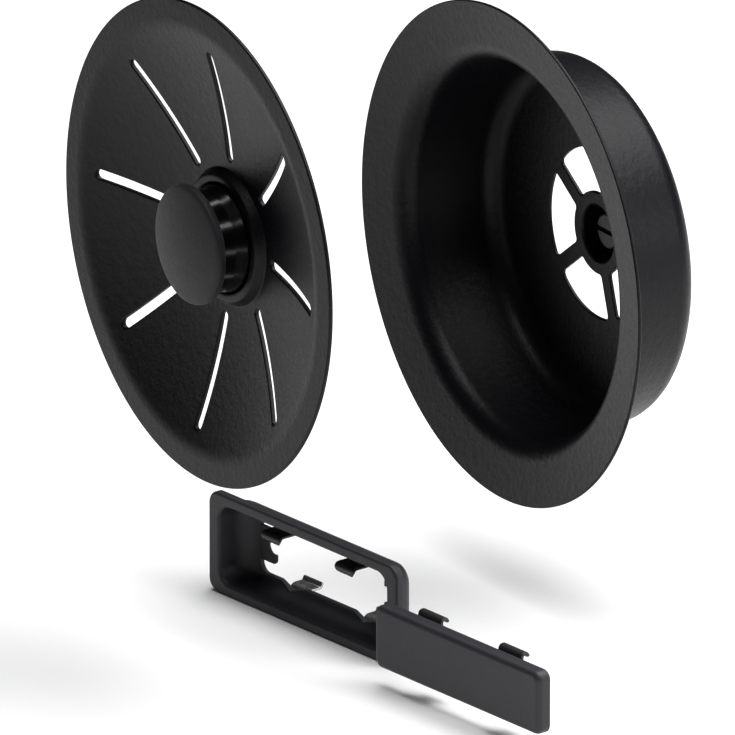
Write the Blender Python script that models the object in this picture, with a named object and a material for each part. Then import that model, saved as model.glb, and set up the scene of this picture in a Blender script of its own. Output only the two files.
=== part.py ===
"""Waste trim set for a kitchen sink: strainer, waste cup, overflow frame and cover.

The pieces lie apart, as they do before fitting. All fronts face -Y. The origin is the
centre of the waste cup's rim, and the cup's axis is Y. Lengths are in metres.
Each assembly is modelled about its own front centre, with depth towards +Y, and an
empty then puts it in its place.
"""
import math

import bmesh
import bpy
from mathutils import Matrix, Vector

# ---- shared ---------------------------------------------------------------------
GAP = 0.0003                 # between two pieces that touch
LARGE_TURN = 48              # facets round the cup and the strainer
SMALL_TURN = 24              # facets round screws, stems and rings
CORNER_STEPS = 4             # facets in a rounded corner
BEND_STEPS = 3               # facets in a bend of a sheet or leaf
WELL_STEPS = 3               # facets where the overflow's well turns in
SMOOTH_BELOW = math.radians(35)  # edges flatter than this are shaded smooth
LEAST_BEND = 0.00005

# ---- waste cup ------------------------------------------------------------------
FLANGE_RADIUS = 0.05675
FLANGE_SLOPE = 0.184         # depth gained per unit of radius on the flange's cone
CUP_SHEET = 0.0008
CUP_MOUTH_RADIUS = FLANGE_RADIUS - 0.01375
CUP_MOUTH_BEND = 0.0055
CUP_FLOOR_RADIUS = CUP_MOUTH_RADIUS - 0.0025
CUP_CORNER = 0.0048
CUP_DEPTH = 0.0250
FLOOR_FALL = 0.0006          # the floor falls this much to its hub
DIMPLE_RADIUS = 0.0063
DIMPLE_TAPER = 0.0008
DIMPLE_DEPTH = 0.0060
DIMPLE_BEND = 0.0009
HUB_RADIUS = DIMPLE_RADIUS + 0.0032
GRID_RADIUS = HUB_RADIUS + 0.0099
SPOKES = 5
SPOKE_WIDTH = 0.0036
SPOKE_PHASE = math.radians(1.5)
OPENING_CORNER = 0.0010
OPENING_STEPS = (3, 6)       # facets along an opening's inner and outer edge

# ---- fixing screw and its washer -------------------------------------------------
SCREW_RADIUS = 0.0030
SCREW_CLEARANCE = 0.0003
SCREW_LENGTH = 0.0120
SCREW_HEAD_HEIGHT = 0.0022
SCREW_HEAD_CROWN = 0.8       # share of the head's radius that is flat
SCREW_HEAD_SHOULDER = 0.4    # share of the head's height that slopes
SCREW_POINT = 0.3            # chamfer at the screw's end, as a share of its radius
SCREW_SLOT_WIDTH = 0.0012
SCREW_SLOT_DEPTH = 0.0010
WASHER_RADIUS = DIMPLE_RADIUS - DIMPLE_TAPER - 0.0007
WASHER_THICKNESS = 0.0008
SCREW_HEAD_RADIUS = WASHER_RADIUS - 0.0002

# ---- gasket under the flange ------------------------------------------------------
FLANGE_GASKET_INNER = CUP_MOUTH_RADIUS + CUP_MOUTH_BEND
FLANGE_GASKET_OUTER = FLANGE_GASKET_INNER + 0.0023
FLANGE_GASKET_THICKNESS = 0.0010

# ---- strainer ---------------------------------------------------------------------
KNOB_RADIUS = 0.0120
STRAINER_RADIUS = FLANGE_RADIUS - 0.00225
STRAINER_SHEET = 0.0010
STRAINER_BAND = STRAINER_RADIUS - 0.0060  # inner radius of the flat band at the edge
BAND_BEND = 0.0030
DISH_DEPTH = 0.0092          # of the dish's curve at its centre
DISH_FLOOR = 0.0090          # depth of the flat seat under the knob
DISH_STEPS = 5
BOSS_OUTER = KNOB_RADIUS + GAP + 0.0019
BOSS_FOOT = BOSS_OUTER + 0.0014
BOSS_TOP = 0.0060
BOSS_BEND = 0.0006
SLOTS = 8
SLOT_INNER = BOSS_FOOT + 0.0021
SLOT_OUTER = STRAINER_BAND - 0.0041
SLOT_WIDTH = 0.0023
SLOT_PHASE = math.radians(-3.4)

# ---- knob, stem and what holds them ------------------------------------------------
CAP_RADIUS = KNOB_RADIUS + 0.0014
CAP_FRONT = -0.0025          # front edge of the cap
CAP_DOME = 0.0019
CAP_DOME_REACH = 0.94        # share of the cap's radius that is domed
CAP_DOME_STEPS = 4
CAP_EDGE = 0.0018
CAP_SIDE = ((1.0, 0.35), (1.0, 0.8), (0.98, 1.0))  # shares of radius and of edge height
STEM_RADIUS = 0.0035
STEM_SOCKET_DEPTH = 0.0070
COLLAR_RADIUS = KNOB_RADIUS
COLLAR_THICKNESS = 0.0015
SEAL_RADIUS = COLLAR_RADIUS - 0.0006
SEAL_THICKNESS = 0.0012
SNAP_RING_RADIUS = STEM_RADIUS + 0.0020
SNAP_RING_THICKNESS = 0.0008
GROOVE_DEPTH = 0.0006
TIP_RADIUS = STEM_RADIUS + 0.0013
TIP_LENGTH = 0.0045
TIP_SOCKET = 0.0025
TIP_SIDE = ((0.9, 0.0), (1.0, 0.2), (1.0, 0.5), (0.75, 0.9), (0.5, 1.0))  # radius, length

# ---- overflow frame -----------------------------------------------------------------
FRAME_WIDTH = 0.0655
FRAME_HEIGHT = 0.0235
FRAME_CORNER = 0.0030
FRAME_RIM = 0.0021
FRAME_EDGE = 0.0007          # softened front edge
MOUTH_WIDTH = FRAME_WIDTH - 0.0076
MOUTH_HEIGHT = FRAME_HEIGHT - 0.0054
MOUTH_CORNER = 0.0035
REAR_WIDTH = MOUTH_WIDTH - 0.0100
REAR_HEIGHT = MOUTH_HEIGHT - 0.0044
REAR_CORNER = 0.0024
WELL_STRAIGHT = 0.0038       # depth of the straight part that takes the cover
WELL_DEPTH = 0.0078          # depth of the floor round the rear opening
WELL_WALL = 0.0010
CLAW_REACH = REAR_WIDTH / 2 - 0.0052  # half the space between the claws
CLAW_HEIGHT = REAR_HEIGHT - 0.0055
CLAW_NOTCH = 0.0019
CLAW_NOTCH_INSET = 0.0008
CLAW_NOTCH_STEPS = 6
VEE_WIDTH = 0.0088
VEE_DEPTH = 0.0014
LEAF_PLACE = REAR_WIDTH / 2 - 0.0112
LEAF_WIDTH = 0.0066
LEAF_THICKNESS = 0.0006
LEAF_BACK = WELL_DEPTH + WELL_WALL + 0.0044
LEAF_TIP_HEIGHT = REAR_HEIGHT / 2 - 0.0027
LEAF_FOOT = REAR_HEIGHT / 2 + 0.0007   # height of the top leaf's foot, behind the opening's edge
LEAF_PASS = 0.00035          # the top leaf clears the rear opening's edge by this much
LEAF_FRONT = 0.0014          # depth of the top leaf's foremost point
LEAF_CHEEK = 0.0013          # height of its curl's straight front
LEAF_CURL = 0.0009           # how far its tip runs back
LEAF_CURL_BEND = 1.5 * LEAF_THICKNESS
LOW_LEAF_BEND = 3 * LEAF_THICKNESS
FRAME_GASKET_BORDER = 0.0006
FRAME_GASKET_THICKNESS = 0.0008

# ---- overflow cover -----------------------------------------------------------------
COVER_WIDTH = MOUTH_WIDTH - 0.0014
COVER_HEIGHT = MOUTH_HEIGHT - 0.0036
COVER_CORNER = 0.0020
COVER_THICKNESS = 0.0035
COVER_EDGE = 0.0013
COVER_EDGE_STEPS = 3
COVER_EDGE_CORNER = 0.6      # the corners tighten by this share of the edge at the front
POCKET_DEPTH = 0.0012
POCKET_BORDER = 0.0020
CLIP_PLACE = LEAF_PLACE + 0.0010
CLIP_WIDTH = 0.0080
CLIP_THICKNESS = 0.0008
CLIP_REACH = COVER_THICKNESS + 0.0028   # from the cover's front to its hooks' back
CLIP_RISE = 0.00095          # how far the hooks stand above the cover
CLIP_NECK_BEND = 0.7 * CLIP_THICKNESS
CLIP_CREST_BEND = CLIP_THICKNESS
CLIP_TURN_DOWN = 0.0009
RIVET_RADIUS = 0.0010
RIVET_HEAD_RADIUS = 0.0018
RIVET_HEAD = 0.0006
RIVET_HEAD_CROWN = 0.7       # share of the head's radius that is flat
RIVET_FOOT = 1.4 * RIVET_HEAD  # how deep a rivet sits in the cover
RIVET_FACETS = 12

# ---- where the assemblies lie ----------------------------------------------------------
STRAINER_PLACE = Vector((0.0, -0.0780, 0.0175))
OVERFLOW_PLACE = Vector((-0.0034, -0.0489, -0.0673))
OVERFLOW_TURN = math.radians(7.0)
COVER_ASIDE = (FRAME_WIDTH + COVER_WIDTH) / 2 + 0.0044  # along the frame's width
COVER_AHEAD = CLIP_REACH + 0.0037    # in front of the overflow frame


# ---- outlines ---------------------------------------------------------------------------
def arc(centre, radius, start, sweep, steps):
    """Points along an arc, both ends included."""
    return [
        (centre[0] + radius * math.cos(start + sweep * k / steps),
         centre[1] + radius * math.sin(start + sweep * k / steps))
        for k in range(steps + 1)
    ]


def bent_line(corners, steps=BEND_STEPS):
    """A line through corners (u, v) or (u, v, radius), each rounded by its radius."""
    line = []
    for index, corner in enumerate(corners):
        here = Vector(corner[:2])
        radius = corner[2] if len(corner) > 2 else 0.0
        if radius <= 0.0 or index in (0, len(corners) - 1):
            line.append(tuple(here))
            continue
        back = (Vector(corners[index - 1][:2]) - here).normalized()
        ahead = (Vector(corners[index + 1][:2]) - here).normalized()
        half = back.angle(ahead) / 2
        centre = here + (back + ahead).normalized() * (radius / math.sin(half))
        first = here + back * (radius / math.tan(half)) - centre
        last = here + ahead * (radius / math.tan(half)) - centre
        start = math.atan2(first.y, first.x)
        sweep = math.atan2(first.x * last.y - first.y * last.x, first.dot(last))
        line += arc(centre, radius, start, sweep, steps)
    return line


def offset_corners(corners, distance):
    """The same corners moved sideways (to the left of travel), with bends to match."""
    points = [Vector(corner[:2]) for corner in corners]
    runs = [(b - a).normalized() for a, b in zip(points, points[1:])]
    sides = [Vector((-run.y, run.x)) * distance for run in runs]
    moved = [tuple(points[0] + sides[0])]
    for index in range(1, len(points) - 1):
        before, after = runs[index - 1], runs[index]
        turn = before.x * after.y - before.y * after.x
        mitre = sides[index - 1] + sides[index]
        mitre *= distance * distance * 2 / mitre.length_squared
        radius = corners[index][2] if len(corners[index]) > 2 else 0.0
        if radius > 0.0:
            radius = max(radius - math.copysign(distance, turn * distance), LEAST_BEND)
        moved.append((*(points[index] + mitre), radius))
    moved.append(tuple(points[-1] + sides[-1]))
    return moved


def trim_to_radius(corners):
    """Slides the end corners along their runs, so both ends keep the given radii."""
    def slide(end, neighbour, radius):
        share = (radius - end[0]) / (neighbour[0] - end[0])
        return (radius, end[1] + (neighbour[1] - end[1]) * share)
    inner_end = slide(corners[0][1], corners[0][2], corners[0][0])
    outer_end = slide(corners[1][1], corners[1][2], corners[1][0])
    return inner_end, outer_end


def sheet_outline(corners, thickness, steps=BEND_STEPS):
    """Closed outline of a turned sheet: its front line, then its back line returned."""
    back = offset_corners(corners, thickness)
    first, last = trim_to_radius((
        (corners[0][0], back[0], back[1]),
        (corners[-1][0], back[-1], back[-2]),
    ))
    back = [first, *back[1:-1], last]
    return bent_line(corners, steps) + bent_line(back, steps)[::-1]


def ribbon_outline(corners, thickness):
    """Closed outline of a bent leaf, from its centre line."""
    one_side = bent_line(offset_corners(corners, thickness / 2))
    other_side = bent_line(offset_corners(corners, -thickness / 2))
    return one_side + other_side[::-1]


def rounded_rectangle(width, height, radius, steps=CORNER_STEPS):
    """A rectangle with round corners, centred, anticlockwise as seen from +v."""
    radius = min(radius, width / 2, height / 2)
    outline = []
    for quarter, (side_u, side_v) in enumerate(((1, 1), (-1, 1), (-1, -1), (1, -1))):
        centre = (side_u * (width / 2 - radius), side_v * (height / 2 - radius))
        outline += arc(centre, radius, quarter * math.pi / 2, math.pi / 2, steps)
    return outline


# ---- solids -------------------------------------------------------------------------------
def make_object(name, mesh_data, surface, place):
    """Turns a bmesh into an object with its finish, standing at its place."""
    bmesh.ops.recalc_face_normals(mesh_data, faces=mesh_data.faces)
    mesh = bpy.data.meshes.new(name)
    mesh_data.to_mesh(mesh)
    mesh_data.free()
    item = bpy.data.objects.new(name, mesh)
    bpy.context.scene.collection.objects.link(item)
    if surface:
        mesh.materials.append(surface)
    item.parent = place
    return item


def join_rings(mesh_data, rings, closed):
    """Skins neighbouring rings of vertices; a ring of one vertex is a point."""
    pairs = list(zip(rings, rings[1:] + rings[:1])) if closed else list(zip(rings, rings[1:]))
    for one, other in pairs:
        count = max(len(one), len(other))
        for k in range(count if count > 1 else 0):
            corners = []
            for ring, step in ((one, k), (one, k + 1), (other, k + 1), (other, k)):
                vertex = ring[step % len(ring)]
                if vertex not in corners:
                    corners.append(vertex)
            mesh_data.faces.new(corners)


def turned(name, outline, surface, place, facets=SMALL_TURN):
    """Turns a closed outline of (radius, depth) points about the depth axis."""
    mesh_data = bmesh.new()
    rings = []
    for radius, depth in outline:
        count = facets if radius > 1e-7 else 1
        rings.append([
            mesh_data.verts.new((
                radius * math.cos(math.tau * k / facets), depth,
                radius * math.sin(math.tau * k / facets),
            ))
            for k in range(count)
        ])
    join_rings(mesh_data, rings, closed=outline[0][0] > 1e-7)
    item = make_object(name, mesh_data, surface, place)
    item.data.shade_smooth()
    item.data.set_sharp_from_angle(angle=SMOOTH_BELOW)
    return item


def stacked(name, layers, surface, place, ring=False):
    """Skins outlines (u across, v up), each at its depth; ring leaves the middle open."""
    mesh_data = bmesh.new()
    rings = [
        [mesh_data.verts.new((u, depth, v)) for u, v in outline]
        for outline, depth in layers
    ]
    join_rings(mesh_data, rings, closed=ring)
    if not ring:
        mesh_data.faces.new(rings[0])
        mesh_data.faces.new(rings[-1])
    return make_object(name, mesh_data, surface, place)


def leaf(name, outline, width, centre, surface, place):
    """Extrudes an outline of (depth, height) points across its width."""
    mesh_data = bmesh.new()
    rings = [
        [mesh_data.verts.new((centre + side * width / 2, depth, height)) for depth, height in outline]
        for side in (-1, 1)
    ]
    join_rings(mesh_data, rings, closed=False)
    mesh_data.faces.new(rings[0])
    mesh_data.faces.new(rings[1])
    return make_object(name, mesh_data, surface, place)


def shape_with(item, tools, operation):
    """Cuts or joins hidden helper solids into an item, exactly."""
    for tool in tools:
        tool.hide_render = True
        tool.display_type = "WIRE"
        boolean = item.modifiers.new(tool.name, "BOOLEAN")
        boolean.operation = operation
        boolean.solver = "EXACT"
        boolean.object = tool


def finish(name, colour, roughness, metallic=0.0, coat=0.0):
    """A plain surface: colour, roughness, metallic share and clear coat."""
    surface = bpy.data.materials.new(name)
    surface.use_nodes = True
    shader = surface.node_tree.nodes["Principled BSDF"]
    shader.inputs["Base Color"].default_value = (*colour, 1.0)
    shader.inputs["Roughness"].default_value = roughness
    shader.inputs["Metallic"].default_value = metallic
    shader.inputs["Coat Weight"].default_value = coat
    surface.diffuse_color = (*colour, 1.0)
    return surface


def anchor(name, location, turn=0.0):
    """An empty that carries an assembly."""
    empty = bpy.data.objects.new(name, None)
    bpy.context.scene.collection.objects.link(empty)
    empty.matrix_world = Matrix.Translation(location) @ Matrix.Rotation(turn, 4, "Z")
    return empty


# ---- waste cup ------------------------------------------------------------------------------
HUB_DEPTH = CUP_DEPTH + FLOOR_FALL
DIMPLE_FLOOR = HUB_DEPTH + DIMPLE_DEPTH
WASHER_FRONT = DIMPLE_FLOOR - GAP - WASHER_THICKNESS
HEAD_BACK = WASHER_FRONT - GAP
HEAD_FRONT = HEAD_BACK - SCREW_HEAD_HEIGHT


def flange_depth(radius):
    """Depth of the flange's front face at a radius."""
    return (FLANGE_RADIUS - radius) * FLANGE_SLOPE


def cup_opening(number, place):
    """A cutter for one opening between two spokes of the floor grid."""
    pitch = math.tau / SPOKES
    start = SPOKE_PHASE + number * pitch
    outline = []
    inner_steps, outer_steps = OPENING_STEPS
    edges = ((HUB_RADIUS, inner_steps, True), (GRID_RADIUS, outer_steps, False))
    for radius, steps, forward in edges:
        inset = math.asin(SPOKE_WIDTH / 2 / radius)
        first, sweep = start + inset, pitch - 2 * inset
        if not forward:
            first, sweep = first + sweep, -sweep
        outline += arc((0, 0), radius, first, sweep, steps)
    corners = (0, inner_steps, inner_steps + 1, inner_steps + outer_steps + 1)
    rounded = [
        (*point, OPENING_CORNER if index in corners else 0.0)
        for index, point in enumerate(outline)
    ]
    closed = bent_line([rounded[-1], *rounded, rounded[0]], steps=2)[1:-1]
    span = DIMPLE_DEPTH / 2
    return stacked(
        f"opening_cutter_{number}",
        [(closed, HUB_DEPTH - span), (closed, HUB_DEPTH + span)], None, place,
    )


def build_waste_cup(place, coated, rubber, blackened):
    """The cup with its grid, the gasket under its flange, and its fixing screw."""
    corners = [
        (SCREW_RADIUS + SCREW_CLEARANCE, DIMPLE_FLOOR),
        (DIMPLE_RADIUS - DIMPLE_TAPER, DIMPLE_FLOOR, DIMPLE_BEND),
        (DIMPLE_RADIUS, HUB_DEPTH, DIMPLE_BEND),
        (HUB_RADIUS, HUB_DEPTH, 0.0),
        (CUP_FLOOR_RADIUS, CUP_DEPTH, CUP_CORNER),
        (CUP_MOUTH_RADIUS, flange_depth(CUP_MOUTH_RADIUS), CUP_MOUTH_BEND),
        (FLANGE_RADIUS, 0.0),
    ]
    cup = turned("waste_cup", sheet_outline(corners, CUP_SHEET), coated, place, LARGE_TURN)
    shape_with(cup, [cup_opening(number, place) for number in range(SPOKES)], "DIFFERENCE")

    back = [
        (radius, flange_depth(radius) + CUP_SHEET * math.hypot(1, FLANGE_SLOPE) + GAP)
        for radius in (FLANGE_GASKET_INNER, FLANGE_GASKET_OUTER)
    ]
    inner_back = CUP_SHEET + GAP + flange_depth(FLANGE_GASKET_INNER) + FLANGE_GASKET_THICKNESS
    gasket = [*back, (FLANGE_GASKET_OUTER, inner_back), (FLANGE_GASKET_INNER, inner_back)]
    turned("flange_gasket", gasket, rubber, place, LARGE_TURN)

    washer = [
        (SCREW_RADIUS + SCREW_CLEARANCE, WASHER_FRONT),
        (WASHER_RADIUS, WASHER_FRONT),
        (WASHER_RADIUS, WASHER_FRONT + WASHER_THICKNESS),
        (SCREW_RADIUS + SCREW_CLEARANCE, WASHER_FRONT + WASHER_THICKNESS),
    ]
    turned("screw_washer", washer, rubber, place)

    point = DIMPLE_FLOOR + SCREW_LENGTH
    screw_outline = [
        (0.0, HEAD_FRONT),
        (SCREW_HEAD_RADIUS * SCREW_HEAD_CROWN, HEAD_FRONT),
        (SCREW_HEAD_RADIUS, HEAD_FRONT + SCREW_HEAD_HEIGHT * SCREW_HEAD_SHOULDER),
        (SCREW_HEAD_RADIUS, HEAD_BACK),
        (SCREW_RADIUS, HEAD_BACK),
        (SCREW_RADIUS, point - SCREW_RADIUS * SCREW_POINT),
        (SCREW_RADIUS * (1 - SCREW_POINT), point),
        (0.0, point),
    ]
    screw = turned("centre_screw", screw_outline, blackened, place)
    slot = rounded_rectangle(3 * SCREW_HEAD_RADIUS, SCREW_SLOT_WIDTH, 0.0, steps=1)
    slot_cutter = stacked(
        "screw_slot_cutter",
        [(slot, HEAD_FRONT - SCREW_SLOT_DEPTH), (slot, HEAD_FRONT + SCREW_SLOT_DEPTH)],
        None, place,
    )
    shape_with(screw, [slot_cutter], "DIFFERENCE")


# ---- strainer ---------------------------------------------------------------------------------
COLLAR_FRONT = DISH_FLOOR + STRAINER_SHEET + GAP
SEAL_FRONT = COLLAR_FRONT + COLLAR_THICKNESS + GAP
SNAP_RING_FRONT = SEAL_FRONT + SEAL_THICKNESS + GAP
SEAT_DEPTH = flange_depth(STRAINER_RADIUS) - GAP - STRAINER_SHEET
TIP_END = HEAD_FRONT - GAP - SEAT_DEPTH
TIP_START = TIP_END - TIP_LENGTH
KNOB_FRONT = CAP_FRONT + CAP_EDGE + GAP
KNOB_BACK = DISH_FLOOR - GAP
STEM_START = KNOB_BACK - STEM_SOCKET_DEPTH + GAP


def dish_depth(radius):
    """Depth of the strainer's dish at a radius."""
    return DISH_DEPTH * (1 - (radius / STRAINER_BAND) ** 2)


def strainer_outline():
    """Front line with the boss round the knob, and a plain back line."""
    hole = STEM_RADIUS + GAP
    boss_inner = KNOB_RADIUS + GAP
    reach = STRAINER_BAND - BAND_BEND / 2 - BOSS_FOOT
    dish = [
        (BOSS_FOOT + reach * step / DISH_STEPS, dish_depth(BOSS_FOOT + reach * step / DISH_STEPS))
        for step in range(DISH_STEPS + 1)
    ]
    front = bent_line([
        (hole, DISH_FLOOR), (boss_inner, DISH_FLOOR),
        (boss_inner, BOSS_TOP, BOSS_BEND), (BOSS_OUTER, BOSS_TOP, BOSS_BEND), dish[0],
    ])
    band = (STRAINER_BAND + BAND_BEND / 2, 0.0)
    front += dish[1:] + [band, (STRAINER_RADIUS, 0.0)]
    back = [(hole, DISH_FLOOR + STRAINER_SHEET), (boss_inner, DISH_FLOOR + STRAINER_SHEET)]
    back += [(radius, depth + STRAINER_SHEET) for radius, depth in dish]
    back += [(band[0], STRAINER_SHEET), (STRAINER_RADIUS, STRAINER_SHEET)]
    return front + back[::-1]


def strainer_slot(number, place):
    """A cutter for one drain slot with round ends."""
    length = SLOT_OUTER - SLOT_INNER
    middle = (SLOT_OUTER + SLOT_INNER) / 2
    angle = SLOT_PHASE + number * math.tau / SLOTS
    turn = Matrix.Rotation(angle, 2)
    outline = [
        tuple(turn @ Vector((u + middle, v)))
        for u, v in rounded_rectangle(length, SLOT_WIDTH, SLOT_WIDTH / 2, steps=2)
    ]
    return stacked(
        f"slot_cutter_{number}", [(outline, -DISH_DEPTH), (outline, 2 * DISH_DEPTH)], None, place,
    )


def ring(name, inner, outer, front, thickness, surface, place):
    """A flat ring."""
    outline = [(inner, front), (outer, front), (outer, front + thickness), (inner, front + thickness)]
    return turned(name, outline, surface, place)


def build_strainer(place, coated, soft_touch, gloss, rubber, steel, plastic):
    """The slotted disc, the knob in its middle, and the stem behind it."""
    disc = turned("strainer_disc", strainer_outline(), coated, place, LARGE_TURN)
    shape_with(disc, [strainer_slot(number, place) for number in range(SLOTS)], "DIFFERENCE")

    dome_radius = (CAP_RADIUS ** 2 + CAP_DOME ** 2) / (2 * CAP_DOME)
    dome_step = math.asin(CAP_RADIUS * CAP_DOME_REACH / dome_radius) / CAP_DOME_STEPS
    dome = [
        (dome_radius * math.sin(dome_step * k),
         CAP_FRONT - CAP_DOME + dome_radius * (1 - math.cos(dome_step * k)))
        for k in range(CAP_DOME_STEPS + 1)
    ]
    side = [(CAP_RADIUS * out, CAP_FRONT + CAP_EDGE * down) for out, down in CAP_SIDE]
    cap = [*dome, *side, (0.0, CAP_FRONT + CAP_EDGE)]
    turned("knob_cap", cap, soft_touch, place, LARGE_TURN)

    socket = KNOB_BACK - STEM_SOCKET_DEPTH
    knob = [
        (0.0, KNOB_FRONT), (KNOB_RADIUS, KNOB_FRONT), (KNOB_RADIUS, KNOB_BACK),
        (STEM_RADIUS + GAP, KNOB_BACK), (STEM_RADIUS + GAP, socket), (0.0, socket),
    ]
    turned("knob_body", knob, gloss, place, LARGE_TURN)

    bore = STEM_RADIUS + GAP
    ring("retaining_collar", bore, COLLAR_RADIUS, COLLAR_FRONT, COLLAR_THICKNESS, plastic, place)
    ring("stopper_seal", bore, SEAL_RADIUS, SEAL_FRONT, SEAL_THICKNESS, rubber, place)
    groove = STEM_RADIUS - GROOVE_DEPTH
    ring("snap_ring", groove + GAP, SNAP_RING_RADIUS, SNAP_RING_FRONT, SNAP_RING_THICKNESS,
         steel, place)

    stem_end = TIP_START + TIP_SOCKET - GAP
    groove_back = SNAP_RING_FRONT + SNAP_RING_THICKNESS + GAP / 2
    stem = [
        (0.0, STEM_START), (STEM_RADIUS, STEM_START),
        (STEM_RADIUS, SNAP_RING_FRONT - GAP / 2), (groove, SNAP_RING_FRONT - GAP / 2),
        (groove, groove_back), (STEM_RADIUS, groove_back),
        (STEM_RADIUS, TIP_START - GAP), (groove, TIP_START - GAP),
        (groove, stem_end), (0.0, stem_end),
    ]
    turned("stem", stem, steel, place)

    tip_bore = groove + GAP
    side = [(TIP_RADIUS * out, TIP_START + TIP_LENGTH * along) for out, along in TIP_SIDE]
    tip = [
        (0.0, TIP_START + TIP_SOCKET), (tip_bore, TIP_START + TIP_SOCKET), (tip_bore, TIP_START),
        *side, (0.0, TIP_END),
    ]
    turned("stem_tip", tip, plastic, place)


# ---- overflow frame -----------------------------------------------------------------------------
def well_layer(turn, wall=0.0):
    """The well's outline and depth where its side has turned in by an angle."""
    share = 1 - math.cos(turn)
    width = MOUTH_WIDTH + 2 * wall
    height = MOUTH_HEIGHT + 2 * wall
    corner = MOUTH_CORNER + wall
    outline = rounded_rectangle(
        width + (REAR_WIDTH - width) * share,
        height + (REAR_HEIGHT - height) * share,
        corner + (REAR_CORNER - corner) * share,
    )
    return outline, WELL_STRAIGHT + (WELL_DEPTH + wall - WELL_STRAIGHT) * math.sin(turn)


def claw(side, place):
    """One C-shaped claw that reaches in from the side of the rear opening."""
    root = REAR_WIDTH / 2 + WELL_WALL
    notch_centre = CLAW_REACH + CLAW_NOTCH_INSET
    lip = math.asin(CLAW_NOTCH_INSET / CLAW_NOTCH)
    top = CLAW_HEIGHT / 2
    notch = arc((notch_centre, 0.0), CLAW_NOTCH, math.pi / 2 + lip, -(math.pi + 2 * lip),
                CLAW_NOTCH_STEPS)
    outline = [(root, top), (CLAW_REACH, top), *notch, (CLAW_REACH, -top), (root, -top)]
    outline = [(side * u, v) for u, v in outline]
    inset = WELL_WALL / 10
    layers = [(outline, WELL_DEPTH + inset), (outline, WELL_DEPTH + WELL_WALL - inset)]
    return stacked(f"claw_{'right' if side > 0 else 'left'}", layers, None, place)


def vee_notch(side, place):
    """A cutter for one vee in the lower edge of the rear opening."""
    edge = -REAR_HEIGHT / 2
    centre = side * LEAF_PLACE
    rise = VEE_DEPTH / 2
    half = VEE_WIDTH / 2 * (VEE_DEPTH + rise) / VEE_DEPTH
    outline = [(centre - half, edge + rise), (centre, edge - VEE_DEPTH), (centre + half, edge + rise)]
    layers = [(outline, WELL_DEPTH - 3 * WELL_WALL), (outline, WELL_DEPTH + 2 * WELL_WALL)]
    return stacked(f"vee_cutter_{'right' if side > 0 else 'left'}", layers, None, place)


def build_overflow_frame(place, coated, rubber, steel, black_spring):
    """The frame with its bowl-shaped well, the leaves behind it and its gasket."""
    full = rounded_rectangle(FRAME_WIDTH, FRAME_HEIGHT, FRAME_CORNER)
    front = rounded_rectangle(
        FRAME_WIDTH - FRAME_EDGE, FRAME_HEIGHT - FRAME_EDGE, FRAME_CORNER - FRAME_EDGE / 2)
    lip = rounded_rectangle(
        MOUTH_WIDTH + FRAME_EDGE, MOUTH_HEIGHT + FRAME_EDGE, MOUTH_CORNER + FRAME_EDGE / 2)
    turns = [math.pi / 2 * step / WELL_STEPS for step in range(WELL_STEPS + 1)]
    layers = [(front, 0.0), (full, FRAME_EDGE), (full, FRAME_RIM)]
    layers += [(well_layer(0.0, WELL_WALL)[0], FRAME_RIM)]
    layers += [well_layer(turn, WELL_WALL) for turn in turns]
    layers += [well_layer(turn) for turn in reversed(turns)]
    layers += [(well_layer(0.0)[0], FRAME_EDGE), (lip, 0.0)]
    frame = stacked("overflow_frame", layers, coated, place, ring=True)
    shape_with(frame, [claw(side, place) for side in (-1, 1)], "UNION")
    shape_with(frame, [vee_notch(side, place) for side in (-1, 1)], "DIFFERENCE")

    start = FRAME_RIM + FRAME_GASKET_THICKNESS + 2 * GAP
    level = MOUTH_HEIGHT / 2 + WELL_WALL + GAP + LEAF_THICKNESS / 2
    rear = REAR_HEIGHT / 2 + 2 * LEAF_THICKNESS
    behind = WELL_DEPTH + WELL_WALL + GAP + LEAF_THICKNESS / 2
    under = REAR_HEIGHT / 2 - LEAF_PASS - LEAF_THICKNESS / 2
    foremost = LEAF_FRONT + LEAF_THICKNESS / 2
    top_leaf = [
        (behind, LEAF_FOOT),
        (behind, under, LEAF_THICKNESS),
        (foremost, under, LEAF_CURL_BEND),
        (foremost, under - LEAF_CHEEK, LEAF_THICKNESS),
        (foremost + LEAF_CURL, LEAF_TIP_HEIGHT),
    ]
    low_leaf = [
        (start, -level),
        (WELL_DEPTH, -level, LOW_LEAF_BEND),
        (behind + 2 * LEAF_THICKNESS, -rear, LOW_LEAF_BEND),
        (LEAF_BACK, -rear, LEAF_THICKNESS),
        (LEAF_BACK + LEAF_THICKNESS, -REAR_HEIGHT / 2),
    ]
    for side, word in ((-1, "left"), (1, "right")):
        leaf(f"top_clip_{word}", ribbon_outline(top_leaf, LEAF_THICKNESS), LEAF_WIDTH,
             side * LEAF_PLACE, black_spring, place)
        leaf(f"bottom_spring_{word}", ribbon_outline(low_leaf, LEAF_THICKNESS), LEAF_WIDTH,
             side * LEAF_PLACE, steel, place)

    gasket_front = FRAME_RIM + GAP
    gasket_back = gasket_front + FRAME_GASKET_THICKNESS
    inner, outer = (
        rounded_rectangle(MOUTH_WIDTH + 2 * grown, MOUTH_HEIGHT + 2 * grown, MOUTH_CORNER + grown)
        for grown in (WELL_WALL + GAP, WELL_WALL + GAP + FRAME_GASKET_BORDER)
    )
    layers = [(outer, gasket_front), (outer, gasket_back), (inner, gasket_back), (inner, gasket_front)]
    stacked("frame_gasket", layers, rubber, place, ring=True)


# ---- overflow cover -------------------------------------------------------------------------------
POCKET_FLOOR = COVER_THICKNESS - POCKET_DEPTH


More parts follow.
